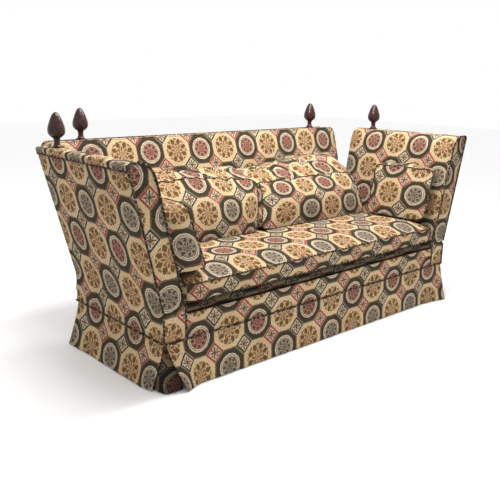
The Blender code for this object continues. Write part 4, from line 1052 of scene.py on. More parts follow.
def build_outer_back():
    """The flat cover behind the frame, from the skirt seam to the top."""

    def face(s, z):
        half = back_half(z) - 0.001
        share = (z - SEAM_HEIGHT) / (BACK_HEIGHT - SEAM_HEIGHT)
        full = crown((s + 1) / 2, 8) * crown(share, 8)
        y = back_front(z) + BACK_THICKNESS + 0.002 * full - 0.002
        y += ripple((s * half, 0.0, z), 0.2, 0.0025 * full, 9.0)
        return Vector((s * half, y, z))

    def backing(s, z):
        half = back_half(z) - 0.001
        return Vector((s * half, back_front(z) + BACK_THICKNESS - OUTER_BACK_THICKNESS, z))

    def cloth(s, z):
        return -s * back_half(z) - BACK_FIGURE[0], back_cloth(0.0, z)[1]

    low = BACK_HEIGHT - 0.04
    levels = spread(SEAM_HEIGHT, low, 34) + eased(low, BACK_HEIGHT - BACK_TOP_FALL, 8)[1:]
    pad("outer_back_cover", ["outer_back"], "base", (eased(-1.0, 1.0, 70), levels, face, backing, cloth))


class KNOLE_OT_back_covers(bpy.types.Operator):
    """Covers the back: padded front, edge strip and outer back"""

    bl_idname = "knole.back_covers"
    bl_label = "Back covers"

    def execute(self, context):
        build_back_front(context.scene.knole_covers)
        build_back_edge()
        build_outer_back()
        return {"FINISHED"}


# The arms

ARM_COVER_FRONT = FRONT_Y + FACING_THICKNESS + GAP


def arm_y(s, z):
    """A place along the arm at a height, from the facing to its leaning rear edge."""
    return ARM_COVER_FRONT + (arm_rear(z) - ARM_COVER_FRONT) * s


def arm_share(z):
    return (z - ARM_BOTTOM) / (ARM_TOP - ARM_BOTTOM)


def arm_outline(z):
    """How far the arm's two edges are drawn in at a height: (inner, outer)."""
    across, up = ARM_INNER_ROUNDING
    above = clamped((z - (ARM_TOP - up)) / up)
    inner = across * (1 - math.sqrt(1 - above**2))
    above = clamped((z - (ARM_TOP - ARM_LIP_ROUNDING)) / ARM_LIP_ROUNDING)
    outer = ARM_LIP_ROUNDING * (1 - math.sqrt(1 - above**2)) - ARM_LIP_PROUD
    return inner, outer


def arm_profile():
    """Points over an arm from its inner foot, round its top and down over its outer edge.

    Each is (inset from the outer face, height, way out of the pad as (inward, up), backing's inset
    and height).
    """
    across, up = ARM_INNER_ROUNDING
    pad_back = ARM_THICKNESS - ARM_PAD_THICKNESS
    under = ARM_TOP - TOP_PAD_THICKNESS
    heights = spread(ARM_BOTTOM, ARM_TOP - up, 34)
    points = [(ARM_THICKNESS, z, 1.0, 0.0, pad_back, z) for z in heights]
    for turn in spread(0.0, math.pi / 2, 10)[1:]:
        inset = ARM_THICKNESS - across * (1 - math.cos(turn))
        z = ARM_TOP - up + up * math.sin(turn)
        points.append((inset, z, math.cos(turn), math.sin(turn), pad_back, min(z, under)))
    lip = ARM_LIP_ROUNDING
    for inset in spread(ARM_THICKNESS - across, lip - ARM_LIP_PROUD, 5)[1:]:
        points.append((inset, ARM_TOP, 0.0, 1.0, min(pad_back, inset), under))
    for turn in spread(0.0, math.pi / 2, 6)[1:]:
        inset = lip * (1 - math.sin(turn)) - ARM_LIP_PROUD
        z = ARM_TOP - lip * (1 - math.cos(turn))
        points.append((inset, z, -math.sin(turn), math.cos(turn), 0.011, under - 0.0005 * turn))
    for z in spread(ARM_TOP - lip, ARM_TOP - ARM_LIP_FALL, 3)[1:]:
        points.append((-ARM_LIP_PROUD, z, -1.0, 0.0, 0.004, z))
    return points


def build_arm_cover(side, word, covers):
    """Inner pad and top of an arm in one piece of cloth."""
    profile = arm_profile()
    lengths = run_lengths([Vector((outer_x(z) - inset, z)) for inset, z, *_ in profile])

    def face(s, k):
        inset, z, inward, up, _, _ = profile[k]
        share = arm_share(z)
        y = arm_y(s, z)
        full = crown(s) * (crown(share) if inward > 0.0 else 0.0)
        swell = covers.arm_crown * full + 0.0015 * max(0.0, up) * crown(s, 8)
        swell += ripple((0.0, y, z), 0.14, covers.unevenness * full, 5.0 * side)
        if inward <= 0.0:
            swell += ripple((0.0, y, 3.0), 0.05, 0.0024 * crown(s, 8), 6.0 * side)
        x = outer_x(z) - inset - inward * swell
        return Vector((side * x, y, z + up * swell * 0.8))

    def backing(s, k):
        inset, z = profile[k][4:]
        return Vector((side * (outer_x(z) - inset), arm_y(s, z), z))

    def cloth(s, k):
        u = side * -arm_y(s, profile[k][1]) - side * INNER_ARM_FIGURE[0] + GAP
        return u, lengths[k] - INNER_ARM_FIGURE[1] + 0.006

    nodes = [word + "_arm_inner_pad", word + "_arm_top_strip"]
    shape = (eased(0.0, 1.0, 44), range(len(profile)), face, backing, cloth)
    pad(word + "_arm_cover", nodes, word + "_arm", shape)


def build_arm_outside(side, word):
    """The arm's outer side, from its foot up to the lip of its top."""

    def face(s, z):
        y = arm_y(s, z)
        full = crown(s, 6) * crown(arm_share(z), 6)
        x = outer_x(z) + 0.003 * full + ripple((0.0, y, z), 0.18, 0.0018 * full, 7.0 * side) - 0.0006
        x += max(-0.001, side_swell(side, y, z)) * crown(s, 12)
        return Vector((side * x, y, z))

    def backing(s, z):
        return Vector((side * (outer_x(z) - OUTER_PAD_THICKNESS + GAP), arm_y(s, z), z))

    def cloth(s, z):
        return side_cloth(side, arm_y(s, z), z)

    levels = spread(ARM_BOTTOM, ARM_TOP - ARM_LIP_FALL + 0.003, 34)
    shape = (eased(0.0, 1.0, 36), levels, face, backing, cloth)
    pad(word + "_arm_outside_cover", [word + "_arm_outer_panel"], word + "_arm", shape)


def build_facing(side, word):
    """The narrow stuffed panel on the arm's front, pinched a little at its foot."""

    def place(s, z, y):
        drawn_inner, drawn_outer = arm_outline(z)
        inner = outer_x(z) - ARM_THICKNESS + drawn_inner + 0.001
        outer = outer_x(z) - max(0.0, drawn_outer) - 0.0005
        return Vector((side * (inner + (outer - inner) * s), y, z))

    def face(s, z):
        full = crown(s, 3) * crown(arm_share(z), 12)
        pinch = math.exp(-((z - ARM_BOTTOM) / 0.035) ** 2) * math.sin(s * math.pi * 5) * 0.0018
        y = FRONT_Y + 0.002 - 0.0045 * full + pinch * crown(s, 4)
        y += ripple((s, 0.0, z / 0.06), 1.0, 0.0012 * full, 11.0 * side)
        return place(s, z, y)

    def backing(s, z):
        return place(s, z, FRONT_Y + FACING_THICKNESS)

    def cloth(s, z):
        x = side * place(s, z, 0.0).x
        return side * (x - FACING_FIGURE[0]) + FIGURE_PITCH, z - FACING_FIGURE[1]

    rounding_low = ARM_TOP - ARM_INNER_ROUNDING[1]
    levels = spread(FACING_FOOT, rounding_low, 50) + eased(rounding_low, ARM_TOP - 0.0004, 24)[1:]
    shape = (eased(0.0, 1.0, 14), levels, face, backing, cloth)
    pad(word + "_facing_cover", [word + "_arm_facing"], word + "_arm", shape)


def build_hinge_strip(side, word):
    """The cloth that runs on from the arm's outside to the seat box, over the hinge."""
    low = BASE_TOP - 0.014
    high = ARM_BOTTOM + 0.014
    front = FRONT_Y + 0.004
    rear = BASE_REAR_Y - 0.004

    def face(y, z):
        fold = 0.0016 + 0.0012 * math.cos((z - HINGE_HEIGHT) / (high - low) * 2 * math.pi)
        fold += max(0.0, side_swell(side, y, z)) * crown((y - front) / (rear - front), 12)
        # Fuller at its front end, where it closes against the facing
        fold += 0.0035 * max(0.0, 1 - (y - front) / 0.03)
        return Vector((side * (outer_x(z) + fold), y, z))

    def backing(y, z):
        return Vector((side * (outer_x(z) + 0.0002), y, z))

    def cloth(y, z):
        return side_cloth(side, y, z)

    mesh = quilt(word + "_hinge_cloth", spread(front, rear, 40), spread(low, high, 12), face, backing, cloth)
    obj = add_piece(word + "_hinge_cloth", mesh, "tapestry", None, [])
    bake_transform(obj)


class KNOLE_OT_arm_covers(bpy.types.Operator):
    """Covers both arms: inner pad with top, outside and front facing"""

    bl_idname = "knole.arm_covers"
    bl_label = "Arm covers"

    def execute(self, context):
        for side, word in SIDES:
            build_arm_cover(side, word, context.scene.knole_covers)
            build_arm_outside(side, word)
            build_facing(side, word)
            build_hinge_strip(side, word)
        return {"FINISHED"}


# The seat box


def plan_line(points, corner_step=0.004, step=0.03):
    """Stops along a plan path of straight runs, close together at its corners."""
    line = []
    for start, end in zip(points, points[1:]):
        start = Vector(start)
        run = Vector(end) - start
        count = max(2, round(run.length / step))
        shares = [corner_step / run.length] + spread(0.0, 1.0, count)[1:-1] + [1 - corner_step / run.length]
        if not line:
            shares = [0.0] + shares
        else:
            line.append(start)
        line += [start + run * share for share in shares]
    line.append(Vector(points[-1]))
    return line


def plan_ways(line):
    """Way out of the sofa at each stop, to the right of the path, halved at its corners."""
    ways = []
    for k in range(len(line)):
        before = line[k] - line[max(k - 1, 0)]
        after = line[min(k + 1, len(line) - 1)] - line[k]
        along = before.normalized() + after.normalized()
        way = Vector((along.y, -along.x)).normalized()
        stretch = 1.0
        if before.length and after.length:
            stretch = 1 / max(0.5, math.cos(before.angle(after) / 2))
        ways.append(way * stretch)
    return ways


def build_borders():
    """The strip under the seat, and the wrap round each side of the seat box."""

    def strip_face(x, z):
        share = (z - SEAM_HEIGHT) / (FRONT_BORDER_HIGH.z - SEAM_HEIGHT)
        y = FRONT_Y + 0.001 - 0.002 * crown(share) + ripple((x, 0.0, z), 0.12, 0.002 * crown(share), 2.0)
        return Vector((x, y, z))

    shape = (
        spread(FRONT_BORDER_LOW.x, FRONT_BORDER_HIGH.x, 80),
        eased(SEAM_HEIGHT, FRONT_BORDER_HIGH.z, 8),
        strip_face,
        lambda x, z: Vector((x, FRONT_BORDER_HIGH.y, z)),
        lambda x, z: (x - BASE_FIGURE[0], z - BASE_FIGURE[1]),
    )
    pad("front_border_cover", ["front_border"], "base", shape)

    inner = HALF_BASE - ARM_THICKNESS
    rear_inner = back_half(HINGE_HEIGHT) + GAP
    for side, word in SIDES:
        path = [(inner, FRONT_Y), (HALF_BASE, FRONT_Y), (HALF_BASE, BASE_REAR_Y), (rear_inner, BASE_REAR_Y)]
        line = plan_line(path)
        ways = plan_ways(line)
        lengths = run_lengths(line)

        def height(k, z):
            """The fixed facing stands a little higher, short of where the arm turns down."""
            inside = clamped((HINGE_X - line[k].x) / 0.010)
            return z + (LOWER_FACING_TOP - BASE_TOP) * (z > BASE_TOP - 0.012) * inside

        def face(k, z):
            share = (z - SEAM_HEIGHT) / (BASE_TOP - SEAM_HEIGHT)
            fold = ripple((line[k].x, line[k].y, z), 0.05, 0.0018 * crown(share), 4.0)
            if lengths[k] > ARM_THICKNESS + 0.003:
                fold = max(-0.001, side_swell(side, line[k].y, z)) * crown(share, 8)
            point = line[k] + ways[k] * (0.0012 * crown(share) + fold - 0.0008)
            return Vector((side * point.x, point.y, height(k, z)))

        def backing(k, z):
            point = line[k] - ways[k] * (BORDER_THICKNESS - GAP)
            return Vector((side * point.x, point.y, height(k, z)))

        def cloth(k, z):
            if lengths[k] > ARM_THICKNESS + 0.003:
                return side_cloth(side, line[k].y, z)
            return side * (line[k].x - FACING_FIGURE[0]) + FIGURE_PITCH, z - FACING_FIGURE[1]

        shape = (range(len(line)), eased(SEAM_HEIGHT, BASE_TOP, 10), face, backing, cloth)
        pad(word + "_side_border_cover", [word + "_side_border"], "base", shape)


def build_platform():
    """The deck under the seat cushion, and the roll along its front edge, made dark with painted shade."""

    def deck_face(x, y):
        edge_x = min(1.0, (DECK_HIGH.x - abs(x)) / 0.02)
        edge_y = min(1.0, min(y - DECK_LOW.y, DECK_HIGH.y - y) / 0.02 + 0.2)
        drop = 0.004 * (1 - min(edge_x, edge_y)) ** 2
        return Vector((x, y, DECK_HIGH.z - drop - 0.0005))

    shape = (
        eased(DECK_LOW.x, DECK_HIGH.x, 40),
        eased(DECK_LOW.y, DECK_HIGH.y, 24),
        deck_face,
        lambda x, y: Vector((x, y, DECK_LOW.z)),
        lambda x, y: (x - SEAT_FIGURE[0], y - SEAT_FIGURE[1]),
    )
    pad("deck_cover", ["seat_deck"], "base", shape)

    height = ROLL_HIGH.z - ROLL_LOW.z
    middle = (ROLL_HIGH.z + ROLL_LOW.z) / 2

    def roll_face(x, turn):
        wobble = 1 + 0.05 * noise.noise(Vector((x * 14.0, 0.0, 5.0)))
        bulge = height / 2 * math.cos(turn) * wobble
        y = ROLL_LOW.y + height / 2 - bulge
        return Vector((x, y, middle + height / 2 * math.sin(turn)))

    shape = (
        spread(ROLL_LOW.x, ROLL_HIGH.x, 120),
        spread(-math.pi / 2, math.pi / 2, 12),
        roll_face,
        lambda x, turn: Vector((x, ROLL_HIGH.y, middle + height / 2 * math.sin(turn) * 0.98)),
        lambda x, turn: (x - BAND_FIGURE[0] - 0.05, turn * height / 2 + BAND_FIGURE[1]),
    )
    # Painted shade: the roll lies in the shade under the seat cushion's front
    pad("edge_roll_cover", ["edge_roll"], "base", shape, finish_name="tapestry_inset")


class KNOLE_OT_seat_covers(bpy.types.Operator):
    """Covers the seat box: borders, deck and edge roll"""

    bl_idname = "knole.seat_covers"
    bl_label = "Seat box covers"

    def execute(self, context):
        build_borders()
        build_platform()
        return {"FINISHED"}


# The skirt

# For an end of a hanging panel: how far its hem is drawn back, and how far it swings out
FRONT_SKIRT_ENDS = ((0.078, 0.030), (-0.012, 0.036))
REAR_SKIRT_END = (-0.034, 0.004)
SIDE_SKIRT_FRONT_END = (0.052, -0.012)
SIDE_SKIRT_REAR_END = (-0.022, 0.010)
REAR_SKIRT_FLARE = 0.008
CORNER_FLARE = 0.014
SKIRT_GAP = 0.010

# Plan of the folded piece behind the right front corner
CORNER_PLAN = (
    (0.870, -0.4725),
    (0.905, -0.4725),
    (0.932, -0.469),
    (0.943, -0.458),
    (0.9465, -0.435),
    (0.9465, -0.395),
)


def build_hanging(path, flare, settings, ends=((0.0, 0.0), (0.0, 0.0)), seed=0.0, lift=0.0):
    """A hanging panel along a plan path: straight at the seam, swinging out in slow folds at its hem.

    ends gives for the path's start and end how far the hem is drawn back, and how far it swings out.
    """
    line = plan_line(path, 0.006, 0.012)
    ways = plan_ways(line)
    lengths = run_lengths(line)
    total = lengths[-1]
    top = SEAM_HEIGHT - GAP
    hem = HEM_HEIGHT + lift
    reach = min(0.20, total / 2)

    def hung(k, z, behind):
        fall = (top - z) / (top - hem)
        wave = settings.wave * noise.noise(Vector((lengths[k] / 0.11, seed, 0.0)))
        wave += 0.35 * settings.wave * noise.noise(Vector((lengths[k] / 0.035, seed, 3.0)))
        out = flare - 0.3 * settings.wave + wave
        along = 0.0
        for (cut, swing), from_end, way in zip(ends, (lengths[k], total - lengths[k]), (1, -1)):
            near = max(0.0, 1 - from_end / reach)
            out += swing * near**2
            along += way * cut * near**1.3
        way = ways[k]
        place = line[k] + way * (fall**1.3 * out - 0.0005 - behind)
        place += Vector((-way.y, way.x)) * along * fall**1.2
        return Vector((place.x, place.y, z))

    def face(k, z):
        return hung(k, z, 0.0)

    def backing(k, z):
        return hung(k, z, settings.thickness)

    return line, lengths, (range(len(line)), eased(hem, top, 14), face, backing)


def hang_panel(name, node, finish_name, lengths, shape, cloth):
    """Sews a hanging panel."""
    obj = add_piece(name, quilt(name, *shape, cloth), finish_name, "base", [node])


class KNOLE_OT_skirts(bpy.types.Operator):
    """Hangs the four skirt panels and the pieces behind the front corners"""

    bl_idname = "knole.skirts"
    bl_label = "Skirts"

    def execute(self, context):
        settings = context.scene.knole_skirt
        span = HALF_BASE - SKIRT_GAP
        back_x = back_half(HINGE_HEIGHT)
        rear_y = back_front(HINGE_HEIGHT) + BACK_THICKNESS
        half_turn = [(back_x, BASE_REAR_Y), (back_x, rear_y)]
        rear = [(span, BASE_REAR_Y)] + half_turn
        rear += [(-x, y) for x, y in reversed(half_turn)] + [(-span, BASE_REAR_Y)]
        low_y = FRONT_Y + SKIRT_GAP
        high_y = BASE_REAR_Y - SKIRT_GAP
        right = [(HALF_BASE, low_y), (HALF_BASE, high_y)]
        left = [(-HALF_BASE, high_y), (-HALF_BASE, low_y)]
        ahead = [(-span, FRONT_Y), (span + SKIRT_GAP, FRONT_Y)]
        panels = [
            ("front_skirt", ahead, settings.front_flare, FRONT_SKIRT_ENDS, 1.0),
            ("rear_skirt", rear, REAR_SKIRT_FLARE, (REAR_SKIRT_END, REAR_SKIRT_END), 2.0),
            ("right_skirt", right, settings.side_flare, (SIDE_SKIRT_FRONT_END, SIDE_SKIRT_REAR_END), 3.0),
            ("left_skirt", left, settings.side_flare, (SIDE_SKIRT_REAR_END, SIDE_SKIRT_FRONT_END), 4.0),
        ]
        for node, path, flare, ends, seed in panels:
            line, lengths, shape = build_hanging(path, flare, settings, ends, seed)

            def cloth(k, z, node=node, line=line, lengths=lengths):
                if node == "front_skirt":
                    return line[k].x - BASE_FIGURE[0], z - BASE_FIGURE[1]
                if node == "rear_skirt":
                    return lengths[k] - lengths[-1] / 2, z - BASE_FIGURE[1]
                side = -1 if node == "left_skirt" else 1
                return side_cloth(side, line[k].y, z)

            hang_panel(node + "_cloth", node, "tapestry", lengths, shape, cloth)
        self.build_corner_pieces(settings)
        return {"FINISHED"}

    def build_corner_pieces(self, settings):
        """The folded piece behind each open front corner, made dark with painted shade."""
        for side, word in SIDES:
            path = [(side * x, y) for x, y in CORNER_PLAN]
            if side < 0:
                path.reverse()
            line, lengths, shape = build_hanging(path, CORNER_FLARE, settings, seed=5.0 + side, lift=0.002)

            def cloth(k, z, line=line, side=side):
                return side * line[k].x + line[k].y - CORNER_FIGURE[0], z - CORNER_FIGURE[1]

            node = word + "_corner_pleat"
            # Painted shade: the piece stands in the shade behind the skirt's corner
            hang_panel(word + "_corner_cloth", node, "tapestry_inset", lengths, shape, cloth)


# Piping

CORD_STEP = 0.010


def build_arm_cords(side, word, radius):
    """Down both edges of the facing and round its top, and back along the arm's outer top edge."""
    seat = radius / math.sqrt(2)
    y = FRONT_Y - seat * 0.6
    low = ARM_BOTTOM - 0.004 + radius
    proud = seat * 0.6
    across, up = ARM_INNER_ROUNDING
    inner = [Vector((outer_x(z) - ARM_THICKNESS - proud, y, z)) for z in spread(low, ARM_TOP - up, 50)]
    for turn in spread(0.0, math.pi / 2, 14)[1:]:
        z = ARM_TOP - up + (up + proud) * math.sin(turn)
        inner.append(Vector((outer_x(z) - ARM_THICKNESS + across - (across + proud) * math.cos(turn), y, z)))
    lip = ARM_LIP_ROUNDING
    for turn in spread(0.0, math.pi / 2, 8):
        z = ARM_TOP - lip + (lip + proud) * math.cos(turn)
        inner.append(Vector((outer_x(z) - lip + (lip + proud) * math.sin(turn), y, z)))
    corner = Vector((outer_x(ARM_TOP - lip) + proud, y, ARM_TOP - lip))
    inner += straight_line([corner, (outer_x(low) + proud, y, low)], CORD_STEP)[1:]
    seam_z = ARM_TOP - ARM_LIP_FALL
    start = Vector((outer_x(seam_z) + proud, y, seam_z))
    rear = arm_rear(seam_z) - radius
    edge = straight_line([start, (start.x, rear, seam_z)], CORD_STEP)
    runs = [[Vector((side * point.x, point.y, point.z)) for point in run] for run in (inner, edge)]
    mesh = cord_mesh(word + "_arm_cords", runs, radius)
    add_piece(word + "_arm_cords", mesh, "piping_cloth", word + "_arm", [word + "_arm_piping"])


def build_base_cords(radius):
    """Round the sofa in the skirt seam, and up the edges of the fixed facings."""
    out = radius * 0.75
    x = HALF_BASE + out
    back_x = back_half(HINGE_HEIGHT) + out
    front = FRONT_Y - out
    step_y = BASE_REAR_Y + out
    rear = back_front(HINGE_HEIGHT) + BACK_THICKNESS + out
    half = [(x, front), (x, step_y), (back_x, step_y), (back_x, rear)]
    plan = half + [(-px, py) for px, py in reversed(half)] + [half[0]]
    line = straight_line([(px, py, SEAM_HEIGHT) for px, py in plan], CORD_STEP)[:-1]
    runs = []
    for side, _ in SIDES:
        for place_x in (HALF_BASE + out * 0.6, HALF_BASE - ARM_THICKNESS - out * 0.2):
            low = (side * place_x, FRONT_Y - out * 0.6, SEAM_HEIGHT)
            top = BASE_TOP - 0.002 if place_x > HINGE_X else LOWER_FACING_TOP
            high = (side * place_x, FRONT_Y - out * 0.6, top)
            runs.append(straight_line([low, high], 0.008))
    loop = cord_mesh("base_piping_cords", [line], radius, closed=True)
    add_piece("base_piping_cords", loop, "piping_cloth", "base", ["base_piping"])
    posts = cord_mesh("fixed_facing_cords", runs, radius)
    add_piece("fixed_facing_cords", posts, "piping_cloth", "base", [])


def build_back_cords(radius):
    """Up the front and the rear edges of the back and over its top."""
    seat = radius * 0.5
    for word, inset, way, thick, finish_name in (
        ("front", 0.0045, -1, radius * 0.75, "tapestry"),
        ("rear", BACK_THICKNESS, 1, radius, "piping_cloth"),
    ):
        line = []
        for point in back_outline(CORD_STEP):
            if point.z < HINGE_HEIGHT + 2 * radius:
                continue
            share_x = point.x / BACK_SPAN * 2
            high = clamped((point.z - BACK_HEIGHT + BACK_CORNER_RADIUS) / BACK_CORNER_RADIUS)
            lift = high * (-0.002 if word == "front" else seat - BACK_TOP_FALL)
            place_x = point.x + math.copysign(seat * (0.2 if word == "front" else 1.0), share_x)
            line.append(Vector((place_x, back_front(point.z) + inset + way * seat, point.z + lift)))
        mesh = cord_mesh("back_" + word + "_cord", [line], thick)
        if word == "front":
            lay_cloth(mesh, [back_cloth(vert.co.x, vert.co.z) for vert in mesh.vertices])
        add_piece("back_" + word + "_cord", mesh, finish_name, "base", ["back_" + word + "_piping"])


class KNOLE_OT_piping(bpy.types.Operator):
    """Sews covered cord into the seams of the arms, the back and the skirt"""

    bl_idname = "knole.piping"
    bl_label = "Piping"

    def execute(self, context):
        radius = context.scene.knole_covers.piping_radius
        for side, word in SIDES:
            build_arm_cords(side, word, radius)
        build_base_cords(radius)
        build_back_cords(radius)
        return {"FINISHED"}


# Finials

# The turned outline from the flange to the tip: (share of the height, share of the largest radius)
FINIAL_SHARES = (
    (0.0, 0.77),
    (0.013, 0.775),
    (0.024, 0.74),
    (0.04, 0.62),
    (0.078, 0.45),
    (0.13, 0.36),
    (0.19, 0.345),
    (0.248, 0.37),
    (0.288, 0.46),
    (0.327, 0.69),
    (0.392, 0.92),
    (0.458, 0.99),
    (0.523, 1.0),
    (0.614, 0.94),
    (0.693, 0.83),
    (0.771, 0.72),
    (0.85, 0.58),
    (0.915, 0.45),
    (0.965, 0.29),
    (0.99, 0.15),
    (1.0, 0.0),
)


class KNOLE_OT_finials(bpy.types.Operator):
    """Turns the four polished finials"""

    bl_idname = "knole.finials"
    bl_label = "Finials"

    def execute(self, context):
        for node, body in (
            ("left_arm_finial", "left_arm"),
            ("right_arm_finial", "right_arm"),
            ("left_back_finial", "base"),
            ("right_back_finial", "base"),
        ):
            low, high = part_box(node)
            seat = ARM_TOP if "arm" in node else BACK_HEIGHT
            centre = (low + high) / 2
            radius = (high.x - low.x) / 2
            height = high.z - seat
            turned = [Vector((share * radius, 0.0, rise * height)) for rise, share in FINIAL_SHARES]
            outline = smooth_line(turned, 0.0022)
            sides = 48
            verts = [Vector((centre.x, centre.y, seat - 0.004))]
            faces = []
            for point in outline[:-1]:
                for side in range(sides):
                    turn = 2 * math.pi * side / sides
                    reach = max(0.0, point.x)
                    x = centre.x + reach * math.cos(turn)
                    verts.append(Vector((x, centre.y + reach * math.sin(turn), seat + point.z)))
            tip = len(verts)
            verts.append(Vector((centre.x, centre.y, high.z)))
            rings = len(outline) - 1
            for side in range(sides):
                after = (side + 1) % sides
                faces.append((0, 1 + after, 1 + side))
                for ring in range(rings - 1):
                    a = 1 + ring * sides
                    faces.append((a + side, a + after, a + sides + after, a + sides + side))
                a = 1 + (rings - 1) * sides
                faces.append((a + side, a + after, tip))
            mesh = mesh_of(node + "_turned", verts, faces, [(0.0, 0.0)] * len(verts))
            add_piece(node + "_turned", mesh, "mahogany", body, [node])
        return {"FINISHED"}


# Loose cushions


def set_points(mesh, points):
    mesh.vertices.foreach_set("co", np.ascontiguousarray(points, np.float32).ravel())
    mesh.update()


def evaluated_mesh(obj):
    """The object's mesh with its modifiers applied."""
    graph = bpy.context.evaluated_depsgraph_get()
    return bpy.data.meshes.new_from_object(obj.evaluated_get(graph))


def rounded_corner(u, v, half_u, half_v, radius):
    """Draws a point of the square corner in to a round one."""
    corner_u = abs(u) - (half_u - radius)
    corner_v = abs(v) - (half_v - radius)
    if corner_u <= 0 or corner_v <= 0:
        return u, v
    shrink = max(corner_u, corner_v) / math.hypot(corner_u, corner_v)
    new_u = half_u - radius + corner_u * shrink
    new_v = half_v - radius + corner_v * shrink
    return math.copysign(new_u, u), math.copysign(new_v, v)


def cushion_stops(half, edge, step):
    """Places across a cushion, closer together near its edges."""
    near = [-half + edge * share for share in (0.0, 0.06, 0.16, 0.3, 0.48, 0.72)]
    inner = half - edge
    middle = spread(-inner, inner, max(2, round(2 * inner / step)))
    return near + middle + [-value for value in reversed(near)]


def crown_height(u, v, half_u, half_v, edge):
    in_u = min(1.0, (half_u - abs(u)) / edge)
    in_v = min(1.0, (half_v - abs(v)) / edge)
    return math.sin(math.pi / 2 * in_u) * math.sin(math.pi / 2 * in_v)


def build_cushion(
    name, half, thickness, crowns, place, charts, slump, edge, step, pull, cap, stands=True, rows=6
):
    """A boxed cushion: cut to shape, filled by a cloth simulation, slumped, and corded along both rims.

    half is (half width, half height) and crowns are those of the low and the high face. place turns
    (u, v, w) into a point, with w through the cushion from its low rim. charts lay the cloth on the faces
    and on the band between them. slump moves a point by its (u, v, w). edge is how far in from the rim
    the crown rises, step the size of its faces, pull how far the sides draw in between the corners, and
    cap the most that the filling pushes a point. stands keeps the lower edge straight, and rows is how
    many rows of faces the band has.
    """
    half_u, half_v = half
    stops_u = cushion_stops(half_u, edge, step)
    stops_v = cushion_stops(half_v, edge, step)
    face_chart, band_chart = charts

    def flat(u, v):
        new_u, new_v = rounded_corner(u, v, half_u, half_v, CUSHION_CORNER_RADIUS)
        drawn_u = new_u - math.copysign(pull, u) * (1 - (v / half_v) ** 2) * abs(u) / half_u
        drawn_v = new_v - math.copysign(pull, v) * (1 - (u / half_u) ** 2) * abs(v) / half_v
        if stands and v < 0:
            drawn_v = new_v
        return drawn_u, drawn_v

    cut = []
    places = []
    for base, lift, way in ((0.0, crowns[0], -1), (thickness, crowns[1], 1)):
        for v in stops_v:
            for u in stops_u:
                rise = lift * crown_height(u, v, half_u, half_v, edge)
                cut.append((*flat(u, v), base + way * rise))
                places.append(face_chart(u, v))
    across = len(stops_u)
    count = across * len(stops_v)
    faces = []
    for j in range(len(stops_v) - 1):
        for i in range(across - 1):
            a = j * across + i
            faces.append((a + across, a + across + 1, a + 1, a))
            faces.append((count + a, count + a + 1, count + a + across + 1, count + a + across))
    pairs = rim_of(across, len(stops_v))
    low_rim = [j * across + i for i, j in pairs]
    outline = [Vector(cut[k][:2]) for k in low_rim]
    lengths = run_lengths(outline)
    loops = [low_rim]
    for share in [0.012] + spread(0.0, 1.0, rows)[1:-1] + [0.988]:
        loop = []
        for k, point in enumerate(outline):
            along = outline[(k + 1) % len(outline)] - outline[k - 1]
            bulge = 0.10 * thickness * (1 - (2 * share - 1) ** 2)
            if stands and pairs[k][1] == 0:
                bulge = 0.0
            moved = point + Vector((along.y, -along.x)).normalized() * bulge
            loop.append(len(cut))
            cut.append((moved.x, moved.y, share * thickness))
            places.append(band_chart(lengths[k] - half_u, (share - 0.5) * thickness, point))
        loops.append(loop)
    high_rim = [count + k for k in low_rim]
    loops.append(high_rim)
    for low, high in zip(loops, loops[1:]):
        for k in range(len(low)):
            after = (k + 1) % len(low)
            faces.append((low[k], low[after], high[after], high[k]))
    mesh = mesh_of(name, [place(*spot) for spot in cut], faces, places)
    outward(mesh)
    obj = bpy.data.objects.new(name, mesh)
    bpy.context.scene.collection.objects.link(obj)
    fill_cushion(obj, low_rim + high_rim, cap)
    points = points_of(mesh)
    for index, spot in enumerate(cut):
        points[index] += slump(*spot)
    set_points(mesh, points)
    finer = obj.modifiers.new("Finer", "SUBSURF")
    finer.levels = 1
    finer.render_levels = 1
    cover = evaluated_mesh(obj)
    bpy.data.objects.remove(obj)
    filled = add_piece(name + "_filled", cover, "tapestry", name, [name])
    final = points_of(cover)
    radius = bpy.context.scene.knole_covers.piping_radius
    middle = Vector(final.mean(axis=0))
    runs = []
    for rim in (low_rim, high_rim):
        line = []
        for index in rim:
            point = Vector(final[index])
            line.append(point + (point - middle).normalized() * radius * 0.25)
        line = smooth_line(line + [line[0]], 0.008)[:-1]
        runs.append(line)
    cords = cord_mesh(name + "_cords", runs, radius * 0.9, closed=True)
    add_piece(name + "_cords", cords, "piping_cloth", name, [])


def fill_cushion(obj, seams, cap):
    """Blows the cover up from inside, with its seams held, and caps how far each point moves."""
    group = obj.vertex_groups.new(name="seams")
    group.add(seams, 1.0, "REPLACE")
    filling = obj.modifiers.new("Filling", "CLOTH")
    filling.settings.quality = 5
    filling.settings.use_pressure = True
    filling.settings.uniform_pressure_force = bpy.context.scene.knole_cushions.pressure
    filling.settings.vertex_group_mass = group.name
    filling.settings.effector_weights.gravity = 0.0
    filling.collision_settings.use_collision = False
    start = points_of(obj.data)
    for step in range(1, 21):
        bpy.context.scene.frame_set(step)
    moved = points_of(evaluated_mesh(obj)) - start
    obj.modifiers.clear()
    obj.vertex_groups.clear()
    bpy.context.scene.frame_set(1)
    reach = np.linalg.norm(moved, axis=1)
    share = np.minimum(1.0, cap / np.maximum(reach, 1e-9))
    set_points(obj.data, start + moved * share[:, None])


